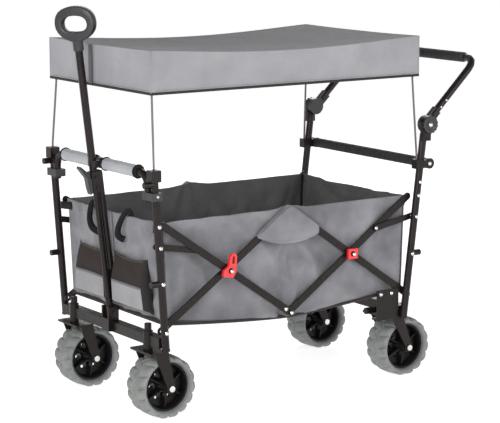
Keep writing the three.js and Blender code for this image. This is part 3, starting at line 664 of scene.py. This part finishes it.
def studs(name, distances, face, spread, sides, body):
    """Small bolts along both arms of the push handle."""
    points, faces = [], []
    profile = [(radius * spread, height * spread) for radius, height in BOLT_PROFILE]
    for distance in distances:
        for _, side in SIDES:
            more = turned_data(profile, push_point(distance, side * face), (0, side, 0), sides, len(points))
            points += more[0]
            faces += more[1]
    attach(make_piece(name, points, faces, [BOLT]), body)


studs("push_rivets", (0.070, 0.098), PUSH_ARM_Y + 0.0108, 0.55, 12, "push_handle")
studs("joint_nuts", (0.0,), DISC_FACE + 0.0040, 1.25, 6, "rear_frame")


def round_bar(name, start, end, radius_of, finish, rows=60, sides=40):
    """A bar between two points along Y, with radius_of(share along it, angle round it)."""
    start, end = Vector(start), Vector(end)
    points, uvs = [], []
    for i in range(rows):
        share = i / (rows - 1)
        middle = start.lerp(end, share)
        for k in range(sides):
            angle = 2 * math.pi * k / sides
            radius = radius_of(share, angle)
            points.append(middle + Vector((math.cos(angle) * radius, 0, math.sin(angle) * radius)))
            uvs.append((share * (end - start).length, angle * 0.016))
    faces = grid_faces(rows, sides, closed_columns=True, flip=start.y < end.y)
    caps = [list(range(sides)), [(rows - 1) * sides + k for k in range(sides)][::-1]]
    faces += caps if start.y > end.y else [cap[::-1] for cap in caps]
    return make_piece(name, points, faces, [finish], None, uvs)


grip_low, grip_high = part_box("push_grip")
grip_centre = (grip_low + grip_high) / 2


def grip_radius(share, angle):
    end = min(share, 1 - share)
    ring = 0.0010 if 0.02 < end < 0.035 else 0.0
    return 0.0152 - ring - 0.0022 * (1 - float(smooth(0.0, 0.012, end)))


push_grip = round_bar("foam_grip", (grip_centre.x, grip_high.y, grip_centre.z),
                      (grip_centre.x, grip_low.y, grip_centre.z), grip_radius, FOAM, rows=160)
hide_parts("push_grip")
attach(push_grip, "push_handle")

# ---- armrest sleeves ----


def sleeve_radius(share, angle):
    end = min(share, 1 - share)
    seam_angle = math.radians(140)
    off_seam = abs((angle - seam_angle + math.pi) % (2 * math.pi) - math.pi)
    seam = 0.0012 * math.exp(-((off_seam / 0.07) ** 2))
    rumple = 0.0006 * ripple(share * 9, math.cos(angle) * 1.4, math.sin(angle) * 1.4)
    return 0.0172 + seam + rumple - 0.0035 * (1 - float(smooth(0.0, 0.03, end)))


for side_name, side in SIDES:
    low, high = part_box(f"armrest_sleeve_{side_name}")
    middle = (low + high) / 2
    sleeve = round_bar(f"soft_sleeve_{side_name}", (middle.x, high.y, middle.z), (middle.x, low.y, middle.z),
                       sleeve_radius, SLEEVE, rows=90, sides=64)
    sleeve.data.materials.append(TAPE)
    for polygon in sleeve.data.polygons:
        from_end = min(polygon.center.y - low.y, high.y - polygon.center.y)
        polygon.material_index = int(from_end < 0.006)
    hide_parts(f"armrest_sleeve_{side_name}")
    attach(sleeve, "front_frame")
    rings = []
    for y in (low.y + 0.004, high.y - 0.004):
        rings.append([(middle.x + a, y, middle.z + b) for a, b in circle(0.0172, 40)])
    bands = sweep(f"sleeve_bands_{side_name}", rings, circle(0.0030, 10), (0, 1, 0), TAPE, closed=True)
    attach(bands, "front_frame")

# ---- canopy: one sheet over the two hoops, with a valance and a piped hem ----

ROOF_COLUMNS, ROOF_ROWS, DROP_STEPS = 72, 46, 14
CANOPY_LENGTH = CANOPY_HIGH.x - CANOPY_LOW.x
CANOPY_WIDTH = CANOPY_HIGH.y - CANOPY_LOW.y
VALANCE = CANOPY_HIGH.z - CANOPY_LOW.z
SIDE_SAG = 0.019
ROOF_SAG = 0.016
END_SAG = 0.0032


def roof_z(u, v):
    span = 4 * u * (1 - u)
    across = 4 * v * (1 - v)
    slack = 0.0016 * ripple(u * 5, v * 3, 0.7) * across
    hung = SIDE_SAG * span ** 1.3 + ROOF_SAG * span * across + END_SAG * across
    return CANOPY_HIGH.z - 0.001 - hung + slack


def build_canopy():
    points, uvs = [], []
    for i in range(ROOF_ROWS):
        for j in range(ROOF_COLUMNS):
            u, v = j / (ROOF_COLUMNS - 1), i / (ROOF_ROWS - 1)
            points.append((CANOPY_LOW.x + u * CANOPY_LENGTH, CANOPY_LOW.y + v * CANOPY_WIDTH, roof_z(u, v)))
            uvs.append((u * CANOPY_LENGTH, v * CANOPY_WIDTH))
    faces = [face[::-1] for face in grid_faces(ROOF_ROWS, ROOF_COLUMNS)]
    last_row, last_column = ROOF_ROWS - 1, ROOF_COLUMNS - 1
    rim = [(0, j) for j in range(last_column)] + [(i, last_column) for i in range(last_row)]
    rim += [(last_row, j) for j in range(last_column, 0, -1)] + [(i, 0) for i in range(last_row, 0, -1)]
    above = [i * ROOF_COLUMNS + j for i, j in rim]
    for step in range(1, DROP_STEPS + 1):
        share = step / DROP_STEPS
        ring = []
        for n, (i, j) in enumerate(rim):
            x, y, top = points[i * ROOF_COLUMNS + j]
            corner = min(j, last_column - j) / last_column * CANOPY_LENGTH \
                + min(i, last_row - i) / last_row * CANOPY_WIDTH
            loose = float(smooth(0.0, 0.05, corner)) * math.sin(math.pi * min(1, share * 0.9))
            swell = (0.0035 * ripple(x * 7, y * 7, 3.1) + 0.0015 * ripple(x * 22, y * 22, share * 2)) * loose
            swell -= 0.0015 * loose
            out = (-1 if j == 0 else 1) if j in (0, last_column) else 0
            beside = (-1 if i == 0 else 1) if i in (0, last_row) else 0
            z = top + (CANOPY_LOW.z + 0.002 - top) * share
            ring.append(len(points))
            points.append((x + out * swell, y + beside * swell, z))
            uvs.append((n * 0.0128, share * VALANCE))
        for n in range(len(rim)):
            after = (n + 1) % len(rim)
            faces.append((above[n], ring[n], ring[after], above[after]))
        above = ring
    roof_faces = (ROOF_ROWS - 1) * (ROOF_COLUMNS - 1)
    # The roof faces take the darker copy of the canopy cloth, as painted shade; the valance keeps the plain grey.
    finish_of = [int(index < roof_faces) for index in range(len(faces))]
    canopy = make_piece("canopy_sheet", points, faces, [GREY, ROOF_SHADED_GREY], finish_of, uvs)
    crisp = canopy.modifiers.new("hems", "EDGE_SPLIT")
    crisp.split_angle = math.radians(60)
    crisp.use_edge_sharp = False
    return canopy


def soft_over_fold(piece):
    """A soft piece between the two end frames, carried by the front frame with a mesh of its own."""
    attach(piece, "front_frame")
    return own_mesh(piece)


def with_canopy(piece):
    return soft_over_fold(piece)


canopy = build_canopy()
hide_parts("canopy")
with_canopy(canopy)


def rectangle(low, high, z, radius, steps=5):
    """A closed path round a rectangle with small round corners."""
    path = []
    corners = ((high.x, high.y, 0), (low.x, high.y, 1), (low.x, low.y, 2), (high.x, low.y, 3))
    for x, y, quarter in corners:
        centre = Vector((x - radius * (1 if x > 0 else -1), y - radius * (1 if y > 0 else -1), z))
        for k in range(steps):
            angle = math.pi / 2 * (quarter + k / (steps - 1))
            path.append(centre + Vector((math.cos(angle), math.sin(angle), 0)) * radius)
    fine = []
    for a, b in zip(path, path[1:] + path[:1]):
        count = max(1, round((b - a).length / 0.02))
        fine += [a.lerp(b, k / count) for k in range(count)]
    return fine


hem = sweep("canopy_piping", [rectangle(CANOPY_LOW, CANOPY_HIGH, CANOPY_LOW.z + 0.003, 0.004)],
            circle(0.0038, 10), (0, 0, 1), PIPING, closed=True)
with_canopy(hem)


def canopy_edge(v):
    return [(CANOPY_LOW.x + k / 40 * CANOPY_LENGTH, CANOPY_LOW.y + v * CANOPY_WIDTH, roof_z(k / 40, v))
            for k in range(41)]


def canopy_end(u):
    return [(CANOPY_LOW.x + u * CANOPY_LENGTH, CANOPY_LOW.y + k / 24 * CANOPY_WIDTH, roof_z(u, k / 24))
            for k in range(25)]


def canopy_corner(x, y):
    return [(x, y, CANOPY_LOW.z + 0.004 + k / 6 * (VALANCE - 0.006)) for k in range(7)]


seams = [canopy_edge(0), canopy_edge(1)]
side_seams = sweep("canopy_side_seams", seams, circle(0.0013, 8), (0, 0, 1), GREY)
with_canopy(side_seams)
end_seams = sweep("canopy_end_seams", [canopy_end(0), canopy_end(1)], circle(0.0013, 8), (0, 0, 1), GREY)
with_canopy(end_seams)
corner_seams = sweep(
    "canopy_corner_seams",
    [canopy_corner(x, y) for x in (CANOPY_LOW.x, CANOPY_HIGH.x) for y in (CANOPY_LOW.y, CANOPY_HIGH.y)],
    circle(0.0014, 8), (1, 0, 0), GREY)
with_canopy(corner_seams)

strap_y = 0.042
strap_path = [(CANOPY_LOW.x - 0.0022, strap_y, CANOPY_LOW.z + 0.004 + k / 10 * (VALANCE - 0.008))
              for k in range(11)]
canopy_strap = sweep("canopy_strap", [strap_path], ribbon(0.017, 0.0018), (-1, 0, 0), GREY_TAPE, flat=True)
with_canopy(canopy_strap)

hem_z = CANOPY_LOW.z + 0.011
canopy_rows = []
for y, outward in ((CANOPY_LOW.y - 0.0012, (0, -1, 0)), (CANOPY_HIGH.y + 0.0012, (0, 1, 0))):
    canopy_rows.append(([(CANOPY_LOW.x + 0.01, y, hem_z), (CANOPY_HIGH.x - 0.01, y, hem_z)], outward))
for x, outward in ((CANOPY_LOW.x - 0.0012, (-1, 0, 0)), (CANOPY_HIGH.x + 0.0012, (1, 0, 0))):
    canopy_rows.append(([(x, CANOPY_LOW.y + 0.01, hem_z), (x, CANOPY_HIGH.y - 0.01, hem_z)], outward))
with_canopy(stitches("canopy_stitches", canopy_rows))

# ---- basket ----

WALL_HEIGHT = BASKET_TOP - BASKET_FOOT
BASKET_LENGTH = BASKET_REAR - BASKET_FRONT
FOOT_LENGTH = BASKET_LENGTH - FRONT_LEAN - REAR_LEAN
HEM_HEIGHT = 0.034
FAR_SHIFT = 0.013                            # moves the far wall's creases, so that the sides differ
CENTRE_X = CENTRE_TOP[0]


def floor_z(x):
    """Height of the basket's lower edge, lowest at the middle."""
    reach = abs(x - CENTRE_X) / (BASKET_LENGTH / 2)
    return BASKET_FOOT + 0.002 + CORNER_RISE * min(1.0, reach) ** 1.4


def crest(x):
    """How far a side wall's top rises over the scissors' joint."""
    return 0.0105 * max(0.0, 1 - abs(x - CENTRE_X) / 0.075) ** 1.3


def wall_ends(z):
    """Front and rear X of the side walls at a height."""
    share = (z - BASKET_FOOT) / WALL_HEIGHT
    return BASKET_FRONT + FRONT_LEAN * (1 - share), BASKET_REAR - REAR_LEAN * (1 - share)


def with_basket(piece):
    return soft_over_fold(piece)


def side_depth(x, z):
    """How far a side wall is drawn inwards: a centre pleat, fans of creases and slack between the bars."""
    rel = x - CENTRE_X
    up = z - CENTRE_LOW[1]
    down = CENTRE_TOP[1] - z
    height = (z - BASKET_FOOT) / WALL_HEIGHT
    low_angle = math.atan2(rel, max(0.01, up + 0.02))
    low_fan = math.sin(low_angle * 11 + 0.6) * math.exp(-math.hypot(rel, up) / 0.13)
    top_angle = math.atan2(rel, max(0.01, down + 0.03))
    top_fan = math.sin(top_angle * 9 + 1.1) * math.exp(-math.hypot(rel, down) / 0.20)
    pleat = math.exp(-((rel - 0.006) / 0.009) ** 2) * float(smooth(0.85, 0.35, height))
    twin = math.exp(-((rel + 0.024) / 0.008) ** 2) * float(smooth(0.60, 0.20, height))
    slack = ripple(x * 4.2, z * 5.5, 1.3)
    crease = 1 - 3 * abs(ripple(x * 8 + z * 7, z * 5 - x * 3, 5.1))
    fine = 1 - 3 * abs(ripple(x * 15 - z * 12, z * 9 + x * 6, 2.7))
    belly = math.sin(math.pi * min(1.0, max(0.0, height))) ** 0.8
    depth = 0.0165 + 0.0150 * slack - 0.0085 * crease - 0.0040 * fine + 0.0080 * low_fan + 0.0080 * top_fan
    return max(0.0008, depth * (0.35 + 0.65 * belly) - 0.0085 * pleat + 0.009 * twin * (1 - pleat))


def side_wall(side_name, side):
    shift = FAR_SHIFT if side > 0 else 0

    def point(u, v):
        level = floor_z(BASKET_FRONT + u * BASKET_LENGTH)
        front, rear = wall_ends(level + v * (BASKET_TOP - level))
        x = front + u * (rear - front)
        z = level + v * (BASKET_TOP - 0.001 + crest(x) - level)
        held = float(smooth(0.0, 0.05, u) * smooth(0.0, 0.05, 1 - u))
        drawn = side_depth(x + shift, z) * held
        hemmed = 0.0012 * float(smooth(BASKET_TOP - HEM_HEIGHT, BASKET_TOP - HEM_HEIGHT + 0.003, z))
        return (x, side * (HALF_WIDTH + 0.0006 - max(0.0, drawn - hemmed)), z)

    wall = cloth_grid(f"basket_side_{side_name}", 60, 150, point, (BASKET_LENGTH, WALL_HEIGHT),
                      [WALL_SHADED_GREY, LINING_AND_SHADE], flip=side < 0)
    with_basket(wall)
    top = [Vector(point(k / 60, 1)) + Vector((0, side * 0.0006, -HEM_HEIGHT + 0.002)) for k in range(61)]
    lower = [(p.x, side * (HALF_WIDTH + 0.0012 - side_depth(p.x + shift, p.z)), p.z) for p in top]
    return lower[3:-3], (0, side, 0)


with_basket(stitches("side_stitches", [side_wall(side_name, side) for side_name, side in SIDES]))


def end_shape(u, v, z, seed):
    """How far an end wall swells outwards: creases that hang from its hem, and a soft belly."""
    held = float(smooth(0.0, 0.09, u) * smooth(0.0, 0.09, 1 - u) * smooth(0.02, 0.10, abs(u - 0.5)))
    folds = ripple(u * 9, v * 1.4, seed) * (1 - v) ** 0.5
    folds += 1 - 3.2 * abs(ripple(u * 6 + v * 2, v * 2.5 - u * 3, seed + 8))
    slack = ripple(u * 3.1, v * 2.2, seed + 4)
    belly = math.sin(math.pi * min(1, v * 1.05))
    hemmed = 0.0030 * float(smooth(BASKET_TOP - HEM_HEIGHT, BASKET_TOP - HEM_HEIGHT + 0.004, z))
    return min(0.0034, (0.0085 * folds - 0.006 + 0.0100 * slack * belly) * held) + hemmed


def end_wall(name, facing):
    """The front wall, facing -1, or the rear wall, facing 1."""
    base_z = floor_z(BASKET_FRONT)

    def point(u, v):
        dip = 0.004 * math.sin(math.pi * u) * v ** 6
        z = base_z + v * (BASKET_TOP - 0.001 - base_z) - dip
        front, rear = wall_ends(z)
        x = front if facing < 0 else rear
        y = (2 * u - 1) * (HALF_WIDTH + 0.0006)
        return (x + facing * end_shape(u, v, z, 2.0 if facing < 0 else 9.0), y, z)

    height = BASKET_TOP - base_z
    wall = cloth_grid(name, 60, 90, point, (2 * HALF_WIDTH, height), [WALL_SHADED_GREY, LINING_AND_SHADE], flip=facing > 0)
    body = "front_frame" if facing < 0 else "rear_frame"
    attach(wall, body)
    row_v = 1 - (HEM_HEIGHT - 0.004) / height
    row = [Vector(point(k / 60, row_v)) + Vector((facing * 0.0006, 0, 0)) for k in range(2, 59)]
    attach(stitches(f"{name}_stitches", [(row, (facing, 0, 0))]), body)
    return wall


front_wall = end_wall("basket_front", -1)
end_wall("basket_rear", 1)
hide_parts("basket")


def floor_point(u, v):
    x = BASKET_FRONT + FRONT_LEAN + 0.004 + u * (FOOT_LENGTH - 0.008)
    y = (2 * v - 1) * (HALF_WIDTH - 0.003)
    panel = abs((u * 4) % 1 - 0.5) * 2
    seam = 0.0035 * math.exp(-(((1 - panel) / 0.05) ** 2)) if 0.1 < u < 0.9 else 0.0
    edge = float(smooth(0.0, 0.04, min(v, 1 - v)))
    return (x, y, floor_z(x) + 0.0075 * edge - seam * edge + 0.0008 * ripple(u * 12, v * 8, 4))


floor_size = (FOOT_LENGTH, 2 * HALF_WIDTH)
# Its upper face takes the dark lining colour, with its painted shade.
floor_mat = cloth_grid("basket_floor", 50, 161, floor_point, floor_size, [LINING_AND_SHADE, GREY], flip=True,
                       thick=0.004)
soft_over_fold(floor_mat)

PIPE = 0.0046


def side_edge(side):
    front, rear = wall_ends(floor_z(BASKET_FRONT))
    path = []
    for k in range(61):
        x = front + k / 60 * (rear - front)
        path.append((x, side * (HALF_WIDTH - 0.0046 * math.sin(math.pi * k / 60) ** 0.4), floor_z(x) - 0.001))
    return path


side_piping = sweep("basket_side_piping", [side_edge(-1), side_edge(1)], circle(PIPE, 10), (0, 0, 1), PIPING)
soft_over_fold(side_piping)


def end_edge(facing):
    z = floor_z(BASKET_FRONT)
    front, rear = wall_ends(z)
    x = front if facing < 0 else rear
    return [(x, (2 * k / 40 - 1) * HALF_WIDTH, z - 0.001) for k in range(41)]


ENDS = (("front", -1, "front_frame"), ("rear", 1, "rear_frame"))

for name, facing, body in ENDS:
    edge = sweep(f"basket_{name}_piping", [end_edge(facing)], circle(PIPE + 0.0014, 10), (0, 0, 1), PIPING)
    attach(edge, body)

# Black binding in the inner corners at the rear, and on the outer ones at the front.
for name, facing, body in ENDS:
    paths = []
    for _, side in SIDES:
        path = []
        for k in range(20):
            z = floor_z(BASKET_FRONT) + 0.004 + k / 19 * (BASKET_TOP - floor_z(BASKET_FRONT) - 0.006)
            front, rear = wall_ends(z)
            x = (front if facing < 0 else rear) - facing * 0.005
            path.append((x, side * (HALF_WIDTH - 0.005), z))
        paths.append(path)
    binding = sweep(f"corner_binding_{name}", paths, ribbon(0.012, 0.002), (facing, 0, 0), TAPE, flat=True)
    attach(binding, body)

# ---- pocket on each side wall that holds the scissors' centre joint ----

FLAP_HALF = 0.113
FLAP_PEAK = CENTRE_TOP[1] + 0.0145
FLAP_CORNER_Z = 0.4905
FLAP_DIP_Z = 0.462
FLAP_FACE = 0.2782
FLAP_FOLD = 0.86                             # above this share the flap turns in to the wall


def flap(side_name, side):
    def point(u, v):
        across = 2 * u - 1
        x = CENTRE_X - 0.003 + across * FLAP_HALF
        fall = abs(across) ** 1.12
        upper = FLAP_PEAK + (FLAP_CORNER_Z - FLAP_PEAK) * fall
        lower = FLAP_DIP_Z + (FLAP_CORNER_Z - 0.002 - FLAP_DIP_Z) * abs(across) ** 2.2
        z = lower + min(1.0, v / FLAP_FOLD) * (upper - lower)
        turned_in = max(0.0, v - FLAP_FOLD) / (1 - FLAP_FOLD)
        out = (1 - turned_in) * float(smooth(0.0, 0.16, 1 - abs(across)))
        droop = 0.0014 * math.sin(math.pi * v) * ripple(u * 6, v * 3, 8.0)
        y = HALF_WIDTH + 0.0012 + (FLAP_FACE - HALF_WIDTH - 0.0012) * out ** 0.75 + droop
        return (x, side * y, z)

    piece = cloth_grid(f"joint_pocket_{side_name}", 30, 61, point, (2 * FLAP_HALF, 0.10),
                       [WALL_SHADED_GREY, WALL_SHADED_GREY], flip=side < 0, thick=0.0012)
    with_basket(piece)
    hem_row = [Vector(point(0.06 + k / 40 * 0.88, 0.07)) + Vector((0, side * 0.0008, 0)) for k in range(41)]
    return hem_row, (0, side, 0)


with_basket(stitches("joint_pocket_stitches", [flap(name, side) for name, side in SIDES]))

# ---- pockets, tapes and loops on the front wall ----

POCKET = {"inner": 0.0125, "outer": 0.187, "top": 0.446, "shelf": 0.366, "foot": 0.291, "depth": 0.026}


def wall_x(z):
    return wall_ends(z)[0]


def pocket(side_name, side):
    middle = (POCKET["inner"] + POCKET["outer"]) / 2
    half = (POCKET["outer"] - POCKET["inner"]) / 2
    heights = POCKET["top"] - POCKET["foot"]
    shelf = (POCKET["shelf"] - POCKET["foot"]) / heights

    def point(u, v):
        across = 2 * u - 1
        drop = 0.010 * (1 - across * across) * float(smooth(0.6, 1.0, v))
        z = POCKET["foot"] + v * heights - drop
        over = float(smooth(0.0, 0.10, v))
        taper = 1 - 0.72 * max(0.0, (v - shelf) / (1 - shelf)) ** 1.1
        side_close = min(1.0, (1 - abs(across)) / 0.13) ** 0.55
        depth = POCKET["depth"] * over * taper * side_close
        sag = 0.003 * ripple(across * 2.4, v * 3, 6.0 + side) * side_close * over
        spread = half + 0.010 * (1 - v)
        y = side * (middle + 0.008 * (1 - v)) + across * spread
        return (wall_x(z) - 0.0042 - depth - sag, y, z)

    def finish_of(u, v):
        if abs(2 * u - 1) > 0.87:
            return 3
        if v > 0.955:
            return 2
        return 1 if v > shelf else 0

    piece = cloth_grid(f"front_pocket_{side_name}", 54, 62, point, (2 * half, heights),
                       [POCKET_FRONT, NETTING, NET_EDGE, GUSSET], thick=0.0014, finish_of=finish_of)
    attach(piece, "front_frame")
    row = [Vector(point(0.09 + k / 40 * 0.82, shelf - 0.03)) + Vector((-0.0006, 0, 0)) for k in range(41)]
    edge = [Vector(point(0.075 + k / 40 * 0.85, shelf)) + Vector((-0.0008, 0, 0)) for k in range(41)]
    band = sweep(f"pocket_edge_{side_name}", [edge], ribbon(0.006, 0.0014), (-1, 0, 0), GREY_TAPE)
    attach(band, "front_frame")
    return row, (-1, 0, 0)


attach(stitches("pocket_stitches", [pocket(name, side) for name, side in SIDES]), "front_frame")

middle_fold = [(wall_x(z) - 0.0062, 0.002, z) for z in np.linspace(0.400, BASKET_TOP - 0.004, 24)]
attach(sweep("front_seam_tape", [middle_fold], ribbon(0.011, 0.0022), (-1, 0, 0), WALL_SHADED_GREY), "front_frame")

LOOP_POINTS = ((0.006, 0.094, 0.552), (-0.004, 0.096, 0.570), (-0.014, 0.094, 0.566), (-0.024, 0.087, 0.545),
               (-0.029, 0.079, 0.520), (-0.024, 0.071, 0.500), (-0.008, 0.066, 0.488), (0.000, 0.066, 0.486))
loops = [spline([(BASKET_FRONT + x, side * y, z) for x, y, z in LOOP_POINTS]) for _, side in SIDES]
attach(sweep("carry_loops", loops, ribbon(0.019, 0.0022), (0, 1, 0.3), TAPE), "front_frame")

TAB_POINTS = ((-0.005, -0.030), (-0.013, -0.010), (-0.020, 0.008))
tabs = [[(BASKET_FRONT + x, side * (HALF_WIDTH + y), BASKET_TOP - 0.02) for x, y in TAB_POINTS]
        for _, side in SIDES]
corner_tabs = sweep("corner_tabs", [spline(tab, 6) for tab in tabs], ribbon(0.022, 0.002), (-1, 0, 0), TAPE)
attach(corner_tabs, "front_frame")

# ---- floor, light and camera ----

SCENE = bpy.context.scene
FLOOR_REACH = 60


def studio_floor():
    mesh = bpy.data.meshes.new("studio_floor")
    corners = [(x * FLOOR_REACH, y * FLOOR_REACH, 0) for x, y in ((-1, -1), (1, -1), (1, 1), (-1, 1))]
    mesh.from_pydata(corners, [], [(0, 1, 2, 3)])
    floor = bpy.data.objects.new("studio_floor", mesh)
    SCENE.collection.objects.link(floor)
    finish = bpy.data.materials.new("studio_floor")
    finish.use_nodes = True
    shader = finish.node_tree.nodes["Principled BSDF"]
    shader.inputs["Base Color"].default_value = (0.72, 0.72, 0.72, 1)
    shader.inputs["Roughness"].default_value = 0.9
    shader.inputs["Specular IOR Level"].default_value = 0.1
    shader.inputs["Emission Color"].default_value = (1, 1, 1, 1)
    shader.inputs["Emission Strength"].default_value = 0.70
    mesh.materials.append(finish)


def studio_world():
    world = bpy.data.worlds.new("studio")
    world.use_nodes = True
    tree = world.node_tree
    background = tree.nodes["Background"]
    place = node(tree, "ShaderNodeTexCoord")
    split = node(tree, "ShaderNodeSeparateXYZ")
    tree.links.new(place.outputs["Generated"], split.inputs[0])
    rise = ranged(tree, split.outputs["Z"], 0, 1, 0.0, 0.9)
    tree.links.new(mixed(tree, rise, (1.0, 1.0, 1.0), (0.20, 0.20, 0.21)), background.inputs["Color"])
    background.inputs["Strength"].default_value = 1.0
    SCENE.world = world


def soft_light(name, place, target, size, power):
    data = bpy.data.lights.new(name, "AREA")
    data.shape = "DISK"
    data.size = size
    data.energy = power
    light = bpy.data.objects.new(name, data)
    light.location = place
    light.rotation_euler = (Vector(target) - Vector(place)).to_track_quat("-Z", "Y").to_euler()
    SCENE.collection.objects.link(light)


AZIMUTH = math.radians(-34.426)
ELEVATION = math.radians(9.791)
CAMERA_PLACE = (along(-3.1456), -4.6214, 1.4762)


def make_camera():
    data = bpy.data.cameras.new("camera")
    data.sensor_width = 36
    data.lens = 137.08
    camera = bpy.data.objects.new("camera", data)
    camera.location = CAMERA_PLACE
    back = Vector((math.sin(AZIMUTH) * math.cos(ELEVATION), -math.cos(AZIMUTH) * math.cos(ELEVATION),
                   math.sin(ELEVATION)))
    camera.rotation_euler = (-back).to_track_quat("-Z", "Y").to_euler()
    SCENE.collection.objects.link(camera)
    SCENE.camera = camera


studio_floor()
studio_world()
TARGET = (0, 0, 0.55)
soft_light("key", (-3.6, -2.6, 1.9), TARGET, 2.4, 120)
soft_light("fill", (1.6, -4.2, 1.7), TARGET, 2.6, 60)
soft_light("rim", (2.6, 3.4, 2.6), TARGET, 2.2, 60)
make_camera()
SCENE.view_settings.view_transform = "Standard"
